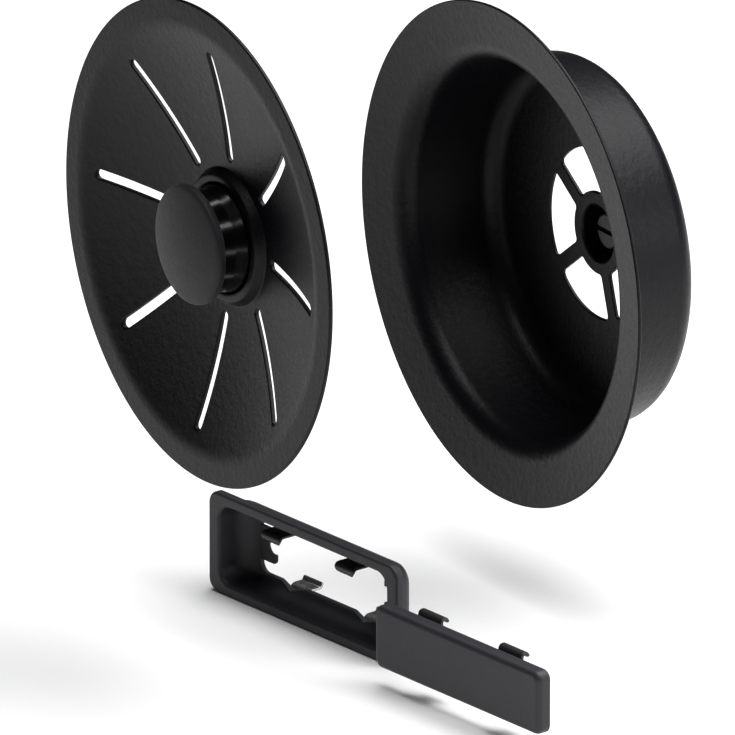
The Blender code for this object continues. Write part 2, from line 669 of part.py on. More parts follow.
def build_overflow_cover(place, coated, black_spring, steel):
    """The cover plate, and two spring clips riveted into the pocket at its back."""
    layers = []
    for step in range(COVER_EDGE_STEPS + 1):
        angle = math.pi / 2 * step / COVER_EDGE_STEPS
        inset = COVER_EDGE * (1 - math.sin(angle))
        outline = rounded_rectangle(
            COVER_WIDTH - 2 * inset, COVER_HEIGHT - 2 * inset,
            COVER_CORNER - COVER_EDGE_CORNER * inset)
        layers.append((outline, COVER_EDGE * (1 - math.cos(angle))))
    full = rounded_rectangle(COVER_WIDTH, COVER_HEIGHT, COVER_CORNER)
    pocket = rounded_rectangle(
        COVER_WIDTH - 2 * POCKET_BORDER, COVER_HEIGHT - 2 * POCKET_BORDER, COVER_CORNER)
    layers += [(full, COVER_THICKNESS), (pocket, COVER_THICKNESS), (pocket, POCKET_FLOOR)]
    plate = stacked("cover_plate", layers, coated, place)

    base = POCKET_FLOOR + GAP + CLIP_THICKNESS / 2
    top = COVER_HEIGHT / 2 + CLIP_RISE - CLIP_THICKNESS / 2
    neck = COVER_HEIGHT / 2 - POCKET_BORDER - GAP - CLIP_THICKNESS / 2
    rise = COVER_THICKNESS + GAP + CLIP_THICKNESS / 2
    back = CLIP_REACH - CLIP_THICKNESS / 2
    hook = [
        (base, neck, CLIP_NECK_BEND),
        (rise, neck, CLIP_NECK_BEND),
        (rise, top, CLIP_CREST_BEND),
        (back, top, CLIP_CREST_BEND),
        (back, top - CLIP_TURN_DOWN),
    ]
    mirrored = [(corner[0], -corner[1], *corner[2:]) for corner in hook]
    line = mirrored[::-1] + hook
    head = base + CLIP_THICKNESS / 2 + GAP
    foot = POCKET_FLOOR - RIVET_FOOT
    rivet_outline = [
        (0.0, foot), (RIVET_RADIUS, foot), (RIVET_RADIUS, head), (RIVET_HEAD_RADIUS, head),
        (RIVET_HEAD_RADIUS * RIVET_HEAD_CROWN, head + RIVET_HEAD), (0.0, head + RIVET_HEAD),
    ]
    last = RIVET_FACETS - 1
    round_hole = arc((0, 0), RIVET_RADIUS + GAP, 0, math.tau * last / RIVET_FACETS, last)
    for side, word in ((-1, "left"), (1, "right")):
        centre = side * CLIP_PLACE
        clip = leaf(f"cover_clip_{word}", ribbon_outline(line, CLIP_THICKNESS), CLIP_WIDTH,
                    centre, black_spring, place)
        hole = [(centre + u, v) for u, v in round_hole]
        cutter = stacked(f"clip_hole_cutter_{word}",
                         [(hole, POCKET_FLOOR - GAP), (hole, COVER_THICKNESS)], None, place)
        shape_with(clip, [cutter], "DIFFERENCE")

        seat_cutter = stacked(f"rivet_seat_cutter_{word}",
                              [(hole, foot - GAP), (hole, POCKET_FLOOR + POCKET_DEPTH)], None, place)
        shape_with(plate, [seat_cutter], "DIFFERENCE")
        rivet = turned(f"clip_rivet_{word}", rivet_outline, steel, place, RIVET_FACETS)
        rivet.location.x = centre


def main():
    """Clears the scene and builds the four assemblies."""
    for old in list(bpy.data.objects):
        bpy.data.objects.remove(old, do_unlink=True)
    coated = finish("black_coated_steel", (0.027, 0.027, 0.030), 0.45, metallic=0.2)
    soft_touch = finish("soft_touch_cap", (0.032, 0.032, 0.036), 0.62)
    gloss = finish("gloss_black_plastic", (0.006, 0.006, 0.007), 0.18, coat=0.3)
    rubber = finish("black_rubber", (0.018, 0.018, 0.018), 0.75)
    steel = finish("stainless_steel", (0.52, 0.52, 0.54), 0.30, metallic=1.0)
    blackened = finish("blackened_steel", (0.020, 0.020, 0.022), 0.40, metallic=0.4)
    plastic = finish("black_plastic", (0.022, 0.022, 0.024), 0.5)
    black_spring = finish("black_spring_steel", (0.030, 0.030, 0.034), 0.38, metallic=0.3)

    cup_place = anchor("cup_place", Vector((0.0, 0.0, 0.0)))
    strainer_place = anchor("strainer_place", STRAINER_PLACE)
    frame_place = anchor("overflow_place", OVERFLOW_PLACE, OVERFLOW_TURN)
    aside = Matrix.Rotation(OVERFLOW_TURN, 3, "Z") @ Vector((COVER_ASIDE, -COVER_AHEAD, 0.0))
    cover_place = anchor("cover_place", OVERFLOW_PLACE + aside, OVERFLOW_TURN)

    build_waste_cup(cup_place, coated, rubber, blackened)
    build_strainer(strainer_place, coated, soft_touch, gloss, rubber, steel, plastic)
    build_overflow_frame(frame_place, coated, rubber, steel, black_spring)
    build_overflow_cover(cover_place, coated, black_spring, steel)


main()
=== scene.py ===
"""Finished look of a kitchen sink's waste and overflow trim set.

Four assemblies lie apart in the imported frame: the waste cup, the strainer with its knob,
the overflow frame, and the cover that clips into it. Each one is modelled in millimetres
about its own front centre, with X to the right, Y into the depth and Z up, and then
stands where the frame says. The frame itself is in metres.
"""
import logging
import math
from collections.abc import Callable, Iterable, Sequence
from dataclasses import dataclass
from enum import Enum

import bmesh
import bpy
from mathutils import Matrix, Vector


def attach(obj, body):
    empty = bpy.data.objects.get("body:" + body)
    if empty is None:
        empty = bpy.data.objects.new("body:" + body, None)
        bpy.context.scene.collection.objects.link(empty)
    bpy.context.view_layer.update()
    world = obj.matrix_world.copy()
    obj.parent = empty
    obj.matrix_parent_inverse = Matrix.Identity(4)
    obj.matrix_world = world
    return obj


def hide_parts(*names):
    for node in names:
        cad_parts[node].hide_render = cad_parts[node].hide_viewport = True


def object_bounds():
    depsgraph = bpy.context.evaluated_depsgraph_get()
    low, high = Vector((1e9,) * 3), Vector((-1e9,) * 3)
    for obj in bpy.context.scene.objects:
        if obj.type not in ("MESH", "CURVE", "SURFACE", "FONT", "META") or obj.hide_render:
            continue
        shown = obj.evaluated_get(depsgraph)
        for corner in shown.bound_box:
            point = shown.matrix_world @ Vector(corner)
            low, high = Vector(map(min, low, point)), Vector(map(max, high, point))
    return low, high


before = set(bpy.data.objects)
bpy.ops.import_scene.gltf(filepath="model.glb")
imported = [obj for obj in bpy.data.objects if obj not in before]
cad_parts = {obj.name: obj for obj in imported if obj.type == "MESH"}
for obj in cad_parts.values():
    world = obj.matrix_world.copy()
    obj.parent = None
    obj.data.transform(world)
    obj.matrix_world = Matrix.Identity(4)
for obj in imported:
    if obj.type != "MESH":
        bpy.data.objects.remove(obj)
CAD_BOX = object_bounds()

LOG = logging.getLogger("trim_set")
MM = 0.001                       # one millimetre in metres
FULL_TURN = 192                  # facets round the cup and the strainer
SMALL_TURN = 72                  # facets round screws, stems and rings
BEND_STEPS = 8                   # facets in a bend
SHARP_ANGLE = math.radians(38)   # steeper edges stay crisp
AXIS = 1e-6                      # a radius below this is on the axis
STRIP_STEP = 0.3                 # longest facet along a spring strip, mm
STRIP_EDGE = 0.3                 # share of a strip's thickness that its edges round off
ROUND_HOLE = 32                  # facets in a small round hole

Point = tuple[float, float]      # (radius or width, depth or height), mm
Corner = tuple[float, ...]       # a point, and the radius of its bend if it has one
Layer = tuple[list[Point], float | list[float]]  # an outline, and its depth or depths


# ---- outlines ---------------------------------------------------------------------------
def arc(centre: Point, radius: float, start: float, sweep: float, steps: int) -> list[Point]:
    """Points along an arc, both ends included.

    Args:
        centre: Middle of the arc.
        radius: Its radius.
        start: Angle of its first point, radians.
        sweep: Angle that it covers, radians; negative runs clockwise.
        steps: Number of facets.

    Returns:
        The points in order.
    """
    return [
        (centre[0] + radius * math.cos(start + sweep * k / steps),
         centre[1] + radius * math.sin(start + sweep * k / steps))
        for k in range(steps + 1)
    ]


def bent(corners: Sequence[Corner], closed: bool = False, steps: int = BEND_STEPS) -> list[Point]:
    """Rounds the corners of a line as a press brake does.

    Args:
        corners: The line's corners.
        closed: Whether the line returns to its start.
        steps: Facets in each bend.

    Returns:
        The rounded line.
    """
    line: list[Point] = []
    count = len(corners)
    for index, corner in enumerate(corners):
        here = Vector(corner[:2])
        radius = corner[2] if len(corner) > 2 else 0.0
        if radius <= 0.0 or (not closed and index in (0, count - 1)):
            line.append((here.x, here.y))
            continue
        back = (Vector(corners[index - 1][:2]) - here).normalized()
        ahead = (Vector(corners[(index + 1) % count][:2]) - here).normalized()
        half = back.angle(ahead) / 2
        centre = here + (back + ahead).normalized() * (radius / math.sin(half))
        first = here + back * (radius / math.tan(half)) - centre
        last = here + ahead * (radius / math.tan(half)) - centre
        sweep = math.atan2(first.x * last.y - first.y * last.x, first.dot(last))
        line += arc((centre.x, centre.y), radius, math.atan2(first.y, first.x), sweep, steps)
    return line


def beside(corners: Sequence[Corner], distance: float) -> list[Corner]:
    """The other face of a sheet: the same corners moved to the left of travel.

    Args:
        corners: The first face's corners.
        distance: The sheet's thickness.

    Returns:
        The moved corners, with bend radii to match.
    """
    points = [Vector(corner[:2]) for corner in corners]
    runs = [(after - before).normalized() for before, after in zip(points, points[1:])]
    sides = [Vector((-run.y, run.x)) * distance for run in runs]
    moved: list[Corner] = [tuple(points[0] + sides[0])]
    for index in range(1, len(points) - 1):
        turn = runs[index - 1].cross(runs[index])
        mitre = sides[index - 1] + sides[index]
        mitre *= distance * distance * 2 / mitre.length_squared
        radius = corners[index][2] if len(corners[index]) > 2 else 0.0
        if radius > 0.0:
            radius = max(radius - math.copysign(distance, turn * distance), 0.05)
        moved.append((*(points[index] + mitre), radius))
    moved.append(tuple(points[-1] + sides[-1]))
    return moved


def sheet_profile(corners: Sequence[Corner], thickness: float, edge: float) -> list[Point]:
    """Closed profile of a pressed sheet whose cut edges are eased.

    Args:
        corners: Corners of the front face, from the inside out.
        thickness: The sheet's thickness.
        edge: Radius of its cut edges.

    Returns:
        The closed profile.
    """
    back = beside(corners, thickness)
    for end, neighbour in ((0, 1), (-1, -2)):
        radius = corners[end][0]
        share = (radius - back[end][0]) / (back[neighbour][0] - back[end][0])
        depth = back[end][1] + (back[neighbour][1] - back[end][1]) * share
        back[end] = (radius, depth, edge)
    front = [(*corners[0][:2], edge), *corners[1:-1], (*corners[-1][:2], edge)]
    return bent(front + back[::-1], closed=True)


def round_rectangle(width: float, height: float, radius: float, steps: int = 10) -> list[Point]:
    """A rectangle with round corners, centred on the origin.

    Args:
        width: Its width.
        height: Its height.
        radius: Radius of its corners.
        steps: Facets in each corner.

    Returns:
        Its outline, anticlockwise.
    """
    radius = min(radius, width / 2, height / 2)
    outline: list[Point] = []
    for quarter, (side_u, side_v) in enumerate(((1, 1), (-1, 1), (-1, -1), (1, -1))):
        centre = (side_u * (width / 2 - radius), side_v * (height / 2 - radius))
        outline += arc(centre, radius, quarter * math.pi / 2, math.pi / 2, steps)
    return outline


def grown(outline: Sequence[Point], distance: float) -> list[Point]:
    """A closed outline moved outwards, or inwards if the distance is negative.

    Args:
        outline: The outline, in either direction of travel.
        distance: How far it moves.

    Returns:
        The moved outline, point for point.
    """
    points = [Vector(point) for point in outline]
    area = sum(a.cross(b) for a, b in zip(points, points[1:] + points[:1]))
    outward = distance if area > 0 else -distance
    moved: list[Point] = []
    for index, here in enumerate(points):
        into = (here - points[index - 1]).normalized()
        out = (points[(index + 1) % len(points)] - here).normalized()
        side = Vector((into.y + out.y, -into.x - out.x))
        side *= 2 / max(side.length_squared, 0.5)
        moved.append(tuple(here + side * outward))
    return moved


def finely(line: Sequence[Point], step: float) -> list[Point]:
    """The same line with no stretch longer than a step.

    Args:
        line: The line's points.
        step: The longest stretch.

    Returns:
        The line with more points.
    """
    dense: list[Point] = [line[0]]
    for before, after in zip(line, line[1:]):
        start, end = Vector(before), Vector(after)
        count = max(1, math.ceil((end - start).length / step))
        dense += [tuple(start.lerp(end, k / count)) for k in range(1, count + 1)]
    return dense


# ---- meshes -----------------------------------------------------------------------------
class Cut(Enum):
    """How a tool works on a piece."""

    AWAY = "DIFFERENCE"
    JOINED = "UNION"


class Blank:
    """A closed mesh under construction, in millimetres."""

    def __init__(self) -> None:
        """Starts with no vertices."""
        self.mesh = bmesh.new()

    def ring(self, points: Iterable[tuple[float, float, float]]) -> list[bmesh.types.BMVert]:
        """Adds one vertex for each point."""
        return [self.mesh.verts.new(Vector(point) * MM) for point in points]

    def skin(self, rings: Sequence[list[bmesh.types.BMVert]], closed: bool = False) -> None:
        """Joins neighbouring rings by faces; a ring of one vertex is a point.

        Args:
            rings: The rings in order.
            closed: Whether the last ring joins the first.
        """
        followers = [*rings[1:], rings[0]] if closed else rings[1:]
        for one, other in zip(rings, followers):
            count = max(len(one), len(other))
            for k in range(count if count > 1 else 0):
                face: list[bmesh.types.BMVert] = []
                for ring, step in ((one, k), (one, k + 1), (other, k + 1), (other, k)):
                    vertex = ring[step % len(ring)]
                    if vertex not in face:
                        face.append(vertex)
                self.mesh.faces.new(face)

    def cap(self, *rings: list[bmesh.types.BMVert]) -> None:
        """Closes rings with one face each."""
        for ring in rings:
            self.mesh.faces.new(ring)

    def piece(self, name: str) -> bpy.types.Object:
        """Turns the mesh into an object of the scene.

        Args:
            name: The object's name.

        Returns:
            The object, at the origin.
        """
        bmesh.ops.recalc_face_normals(self.mesh, faces=self.mesh.faces)
        data = bpy.data.meshes.new(name)
        self.mesh.to_mesh(data)
        self.mesh.free()
        made = bpy.data.objects.new(name, data)
        bpy.context.scene.collection.objects.link(made)
        return made


def turned(
    name: str,
    profile: Sequence[Point],
    facets: int = SMALL_TURN,
    thread: Callable[[float, float], float] | None = None,
) -> bpy.types.Object:
    """Turns a profile about the depth axis.

    Args:
        name: The object's name.
        profile: Points (radius, depth); it is open only if it starts on the axis.
        facets: Facets in a full turn.
        thread: Radius to take away at a depth and an angle, for a screw's thread.

    Returns:
        The turned piece.
    """
    blank = Blank()
    rings = []
    for radius, depth in profile:
        angles = [math.tau * k / facets for k in range(facets if radius > AXIS else 1)]
        radii = [radius - (thread(depth, angle) if thread else 0.0) for angle in angles]
        rings.append(blank.ring(
            (r * math.cos(angle), depth, r * math.sin(angle)) for r, angle in zip(radii, angles)
        ))
    blank.skin(rings, closed=profile[0][0] > AXIS)
    return blank.piece(name)


def layered(name: str, layers: Sequence[Layer], ring: bool = False) -> bpy.types.Object:
    """Skins outlines that have the same number of points.

    Args:
        name: The object's name.
        layers: Each outline (across, up) with its depth, or with a depth for each point.
        ring: Whether the last outline joins the first, so that the middle stays open.

    Returns:
        The skinned piece.
    """
    blank = Blank()
    rings = []
    for outline, depth in layers:
        depths = depth if isinstance(depth, list) else [depth] * len(outline)
        rings.append(blank.ring((u, d, v) for (u, v), d in zip(outline, depths)))
    blank.skin(rings, closed=ring)
    if not ring:
        blank.cap(rings[0], rings[-1])
    return blank.piece(name)


def eased_slab(
    name: str, outline: Sequence[Point], front: float, back: float, edge: float, steps: int = 3,
) -> bpy.types.Object:
    """A flat plate with eased edges.

    Args:
        name: The object's name.
        outline: Its outline (across, up).
        front: Depth of its front face.
        back: Depth of its back face.
        edge: Radius of its edges.
        steps: Facets in each edge.

    Returns:
        The plate.
    """
    turns = [math.pi / 2 * step / steps for step in range(steps + 1)]
    layers = [
        (grown(outline, -edge * (1 - math.sin(turn))), front + edge * (1 - math.cos(turn)))
        for turn in turns
    ]
    layers += [
        (grown(outline, -edge * (1 - math.sin(turn))), back - edge * (1 - math.cos(turn)))
        for turn in reversed(turns)
    ]
    return layered(name, layers)


def strip(
    name: str,
    line: Sequence[Point],
    centre: float,
    thickness: float,
    width: Callable[[float], float],
) -> bpy.types.Object:
    """A spring strip bent along a line, with eased edges and ends.

    Args:
        name: The object's name.
        line: The strip's middle line (depth, height).
        centre: Where its middle lies across.
        thickness: Its thickness.
        width: Its width at a distance from the line's end.

    Returns:
        The strip.
    """
    edge = thickness * STRIP_EDGE
    points = [Vector(point) for point in finely(line, STRIP_STEP)]
    lengths = [(after - before).length for before, after in zip(points, points[1:])]
    blank = Blank()
    rings = []
    last = len(points) - 1
    for index, here in enumerate(points):
        run = (points[min(index + 1, last)] - points[max(index - 1, 0)]).normalized()
        side = Vector((-run.y, run.x))
        left = sum(lengths[index:])
        shrink = 2 * edge if index in (0, last) else 0.0
        section = round_rectangle(width(left) - shrink, thickness - shrink, edge, steps=2)
        spots = [here + side * v for _, v in section]
        rings.append(blank.ring(
            (centre + u, spot.x, spot.y) for (u, _), spot in zip(section, spots)
        ))
    blank.skin(rings)
    blank.cap(rings[0], rings[-1])
    return blank.piece(name)


def worked(piece: bpy.types.Object, tools: Iterable[bpy.types.Object], cut: Cut) -> None:
    """Works tools on a piece for good, and takes the tools away.

    Args:
        piece: The piece that is worked.
        tools: Closed solids.
        cut: Whether they cut away or join on.
    """
    spent = list(tools)
    for tool in spent:
        boolean = piece.modifiers.new(tool.name, "BOOLEAN")
        boolean.operation = cut.value
        boolean.solver = "EXACT"
        boolean.object = tool
    shaped = piece.evaluated_get(bpy.context.evaluated_depsgraph_get())
    rough = piece.data
    mesh = bpy.data.meshes.new_from_object(shaped)
    piece.modifiers.clear()
    piece.data = mesh
    bpy.data.meshes.remove(rough)
    for tool in spent:
        bpy.data.objects.remove(tool, do_unlink=True)


# ---- finishes ---------------------------------------------------------------------------
def linear(colour: str) -> tuple[float, float, float, float]:
    """Turns an sRGB hex colour into linear light.

    Args:
        colour: Six hex digits.

    Returns:
        Red, green, blue and a full alpha.
    """
    shares = [int(colour[k:k + 2], 16) / 255 for k in (0, 2, 4)]
    light = [s / 12.92 if s <= 0.04045 else ((s + 0.055) / 1.055) ** 2.4 for s in shares]
    return (*light, 1.0)


def add_node(
    tree: bpy.types.NodeTree,
    kind: str,
    settings: dict[str, object] | None = None,
    inputs: dict[str | int, object] | None = None,
) -> bpy.types.Node:
    """Adds one node.

    Args:
        tree: The node tree.
        kind: The node's type name.
        settings: Its properties.
        inputs: Its inputs, each a plain value or a socket to link from.

    Returns:
        The node.
    """
    node = tree.nodes.new(kind)
    for name, value in (settings or {}).items():
        setattr(node, name, value)
    for name, value in (inputs or {}).items():
        if isinstance(value, bpy.types.NodeSocket):
            tree.links.new(value, node.inputs[name])
        else:
            node.inputs[name].default_value = value
    return node


class Lay(Enum):
    """Which way a surface's fine marks run, as stretch along X, Y and Z."""

    EVEN = (1.0, 1.0, 1.0)
    DEEP = (1.0, 0.06, 1.0)


@dataclass(frozen=True)
class Finish:
    """A surface made of a base colour, broad mottling, a low wave and a fine grain."""

    name: str = "finish"
    colour: str = "808080"
    shade: str = "707070"        # the mottling's other colour
    roughness: float = 0.5
    spread: float = 0.05         # how far roughness wanders either way
    mottle: float = 18.0         # size of the mottling, mm
    wave: float = 2.0            # length of the low wave, mm
    wave_depth: float = 0.01     # mm
    grain: float = 0.4           # size of the fine grain, mm
    grain_depth: float = 0.01    # mm
    lay: Lay = Lay.EVEN
    edge_wear_and_highlight: str = ""          # paler colour painted thinly on edges, partly wear and partly a painted highlight; none if empty
    edge_width: float = 0.35     # mm
    metallic: float = 0.0
    ior: float = 1.5
    gloss: float = 0.5           # specular level; below 0.5 for a dusty surface
    sheen: float = 0.0

    def material(self) -> bpy.types.Material:
        """Makes the material on first use.

        Returns:
            The material.
        """
        known = bpy.data.materials.get(self.name)
        if known:
            return known
        made = bpy.data.materials.new(self.name)
        made.use_nodes = True
        made.diffuse_color = linear(self.colour)
        tree = made.node_tree
        shader = tree.nodes["Principled BSDF"]
        shader.inputs["Metallic"].default_value = self.metallic
        shader.inputs["IOR"].default_value = self.ior
        shader.inputs["Specular IOR Level"].default_value = self.gloss
        shader.inputs["Sheen Weight"].default_value = self.sheen
        place = add_node(tree, "ShaderNodeTexCoord").outputs["Object"]
        along = add_node(
            tree, "ShaderNodeMapping", inputs={"Vector": place, "Scale": self.lay.value},
        ).outputs["Vector"]
        tree.links.new(self.tone(tree, place), shader.inputs["Base Color"])
        grain = add_node(
            tree, "ShaderNodeTexNoise", inputs={"Vector": along, "Scale": 1 / (self.grain * MM)},
        ).outputs["Fac"]
        drift = add_node(
            tree, "ShaderNodeMapRange",
            inputs={
                "Value": grain, "From Min": 0.3, "From Max": 0.7,
                "To Min": self.roughness - self.spread, "To Max": self.roughness + self.spread,
            },
        ).outputs["Result"]
        tree.links.new(drift, shader.inputs["Roughness"])
        wave = add_node(
            tree, "ShaderNodeTexNoise",
            inputs={"Vector": place, "Scale": 1 / (self.wave * MM), "Detail": 1.0},
        ).outputs["Fac"]
        low = add_node(
            tree, "ShaderNodeBump",
            inputs={"Height": wave, "Distance": self.wave_depth * MM, "Strength": 1.0},
        ).outputs["Normal"]
        fine = add_node(
            tree, "ShaderNodeBump",
            inputs={
                "Height": grain, "Distance": self.grain_depth * MM, "Strength": 1.0,
                "Normal": low,
            },
        ).outputs["Normal"]
        tree.links.new(fine, shader.inputs["Normal"])
        return made

    def tone(self, tree: bpy.types.NodeTree, place: bpy.types.NodeSocket) -> bpy.types.NodeSocket:
        """Mixes the base colour with its mottling, and with a paler edge colour that is partly wear
        and partly a painted highlight.

        Args:
            tree: The material's node tree.
            place: Socket with the place on the piece.

        Returns:
            Socket with the colour.
        """
        cloud = add_node(
            tree, "ShaderNodeTexNoise",
            inputs={"Vector": place, "Scale": 1 / (self.mottle * MM), "Detail": 3.0},
        ).outputs["Fac"]
        body = add_node(
            tree, "ShaderNodeMix", {"data_type": "RGBA"},
            {0: cloud, 6: linear(self.colour), 7: linear(self.shade)},
        ).outputs[2]
        if not self.edge_wear_and_highlight:
            return body
        # Edges get a paler colour through a bevel mask: partly wear, partly a painted highlight
        # along rounded edges.
        eased = add_node(
            tree, "ShaderNodeBevel", {"samples": 4}, {"Radius": self.edge_width * MM},
        ).outputs["Normal"]
        true = add_node(tree, "ShaderNodeNewGeometry").outputs["Normal"]
        flat = add_node(
            tree, "ShaderNodeVectorMath", {"operation": "DOT_PRODUCT"}, {0: eased, 1: true},
        ).outputs["Value"]
        wear_and_highlight_mask = add_node(
            tree, "ShaderNodeMapRange",
            inputs={
                "Value": flat, "From Min": 0.98, "From Max": 0.75, "To Min": 0.0, "To Max": 0.6,
            },
        ).outputs["Result"]
        return add_node(
            tree, "ShaderNodeMix", {"data_type": "RGBA"},
            {0: wear_and_highlight_mask, 6: body, 7: linear(self.edge_wear_and_highlight)},
        ).outputs[2]


@dataclass(frozen=True)
class PowderCoatedSteel(Finish):
    """Pressed steel under a baked matt black powder coat."""

    # The powder melts into a low orange peel with fine grit, so the black stays deep but
    # highlights are broad, soft and slightly grainy. Grit of 0.1 mm is drawn at 0.45 mm,
    # because it would not show at its real size.
    name: str = "powder_coated_steel"
    colour: str = "0a0a0f"
    shade: str = "060609"
    roughness: float = 0.40
    spread: float = 0.05
    wave: float = 1.7
    wave_depth: float = 0.075
    grain: float = 0.60
    grain_depth: float = 0.040
    gloss: float = 0.18
    # Paler edge colour: partly thin coat worn on edges, partly a painted highlight.
    edge_wear_and_highlight: str = "1f1f27"


@dataclass(frozen=True)
class PaintedZincCasting(Finish):
    """Die-cast zinc with a sprayed matt charcoal paint."""

    # The paint is flatter and a little paler than the powder coat, so it looks dry and
    # even, and its soft edges turn light slowly.
    name: str = "painted_zinc_casting"
    colour: str = "1e1e24"
    shade: str = "18181d"
    roughness: float = 0.55
    spread: float = 0.05
    wave: float = 2.4
    wave_depth: float = 0.012
    grain: float = 0.40
    grain_depth: float = 0.012
    # Paler edge colour: partly wear, partly a painted highlight on the soft edges.
    edge_wear_and_highlight: str = "47474c"


@dataclass(frozen=True)
class SoftTouchElastomer(Finish):
    """Thermoplastic elastomer moulded against an etched tool."""

    # The etched grain scatters light, so the cap has no clear reflection and pales
    # towards its edge. Grain of 0.15 mm is drawn at 0.5 mm so that it shows.
    name: str = "soft_touch_elastomer"
    colour: str = "121216"
    shade: str = "0d0d11"
    roughness: float = 0.62
    spread: float = 0.06
    wave: float = 3.0
    wave_depth: float = 0.020
    grain: float = 0.55
    grain_depth: float = 0.035
    gloss: float = 0.35
    sheen: float = 0.10
    ior: float = 1.48


@dataclass(frozen=True)
class PolishedAbs(Finish):
    """Black ABS moulded against a polished tool."""

    # It is nearly mirror smooth, so the body reads as black with a few sharp glints,
    # which faint flow waves from moulding bend.
    name: str = "polished_abs"
    colour: str = "070708"
    shade: str = "050506"
    roughness: float = 0.22
    spread: float = 0.03
    gloss: float = 0.35
    wave: float = 7.0
    wave_depth: float = 0.006
    grain: float = 0.6
    grain_depth: float = 0.001
    ior: float = 1.53


@dataclass(frozen=True)
class MouldedAcetal(Finish):
    """Black acetal as it leaves the mould."""

    # It has a waxy, even half gloss with faint flow marks.
    name: str = "moulded_acetal"
    colour: str = "1c1c1e"
    shade: str = "171719"
    roughness: float = 0.38
    spread: float = 0.06
    wave: float = 4.0
    wave_depth: float = 0.010
    grain: float = 0.5
    grain_depth: float = 0.004
    ior: float = 1.48


@dataclass(frozen=True)
class NitrileRubber(Finish):
    """Nitrile rubber, compression moulded and dusted with talc."""

    # It is dull and slightly grey, with a dusty mottling and no clear highlight.
    name: str = "nitrile_rubber"
    colour: str = "1d1d1d"
    shade: str = "292928"
    roughness: float = 0.78
    spread: float = 0.08
    mottle: float = 6.0
    wave: float = 3.0
    wave_depth: float = 0.020
    grain: float = 0.40
    grain_depth: float = 0.018
    ior: float = 1.52


@dataclass(frozen=True)
class ShadowDarkenedSteel(Finish):
    """Turned steel, coloured nearly black as painted shade because the hub round it lies in shadow.
    """

    # Its near-black colour is painted shade, so the screw stays nearly as dark as the shadowed
    # recess round it, and the turning marks still break the satin highlight.
    name: str = "shadow_darkened_steel"
    colour: str = "141416"
    shade: str = "0e0e10"
    roughness: float = 0.42
    spread: float = 0.06
    mottle: float = 5.0
    wave: float = 3.0
    wave_depth: float = 0.004
    grain: float = 0.35
    grain_depth: float = 0.006
    # Paler edge colour: partly wear, partly a painted highlight.
    edge_wear_and_highlight: str = "303034"
    edge_width: float = 0.2


@dataclass(frozen=True)
class TurnedStainlessSteel(Finish):
    """Stainless steel turned on a lathe and left bright."""

    # Tool marks 0.05 mm apart, drawn at 0.3 mm, blur the reflection into soft bands.
    name: str = "turned_stainless_steel"
    colour: str = "c4c2c0"
    shade: str = "aeadac"
    roughness: float = 0.26
    spread: float = 0.06
    mottle: float = 5.0
    wave: float = 3.0
    wave_depth: float = 0.004
    grain: float = 0.30
    grain_depth: float = 0.003
    metallic: float = 1.0


@dataclass(frozen=True)
class RolledSpringSteel(Finish):
    """Stainless spring strip as it leaves the rolling mill."""

    # Rolling lines run along the strip, so its reflection is streaked and silvery.
    name: str = "rolled_spring_steel"
    colour: str = "c9c6c6"
    shade: str = "b5b2b3"
    roughness: float = 0.30
    spread: float = 0.07
    mottle: float = 4.0
    wave: float = 2.0
    wave_depth: float = 0.004
    grain: float = 0.25
    grain_depth: float = 0.004
    lay: Lay = Lay.DEEP
    metallic: float = 1.0


@dataclass(frozen=True)
class BlackenedSpringSteel(Finish):
    """Spring strip under a thin black electrophoretic coat."""

    # The coat is thin, so the strip's rolling lines show as faint streaks in a satin black, and
    # folded edges carry a pale line painted on, partly wear and partly a painted highlight.
    name: str = "blackened_spring_steel"
    colour: str = "1d1d1f"
    shade: str = "161618"
    roughness: float = 0.40
    spread: float = 0.07
    wave: float = 2.0
    wave_depth: float = 0.006
    grain: float = 0.35
    grain_depth: float = 0.010
    lay: Lay = Lay.DEEP
    # Paler edge colour: partly wear, partly a painted highlight on folded edges.
    edge_wear_and_highlight: str = "3c3c40"
    edge_width: float = 0.2


@dataclass(frozen=True)
class StudioPaper(Finish):
    """Matt white background paper."""

    # Paper fibre gives it no gloss and almost no tone of its own.
    name: str = "studio_paper"
    colour: str = "f4f4f4"
    shade: str = "f2f2f2"
    roughness: float = 0.9
    spread: float = 0.02
    mottle: float = 300.0
    wave: float = 60.0
    wave_depth: float = 0.0
    grain: float = 8.0
    grain_depth: float = 0.0


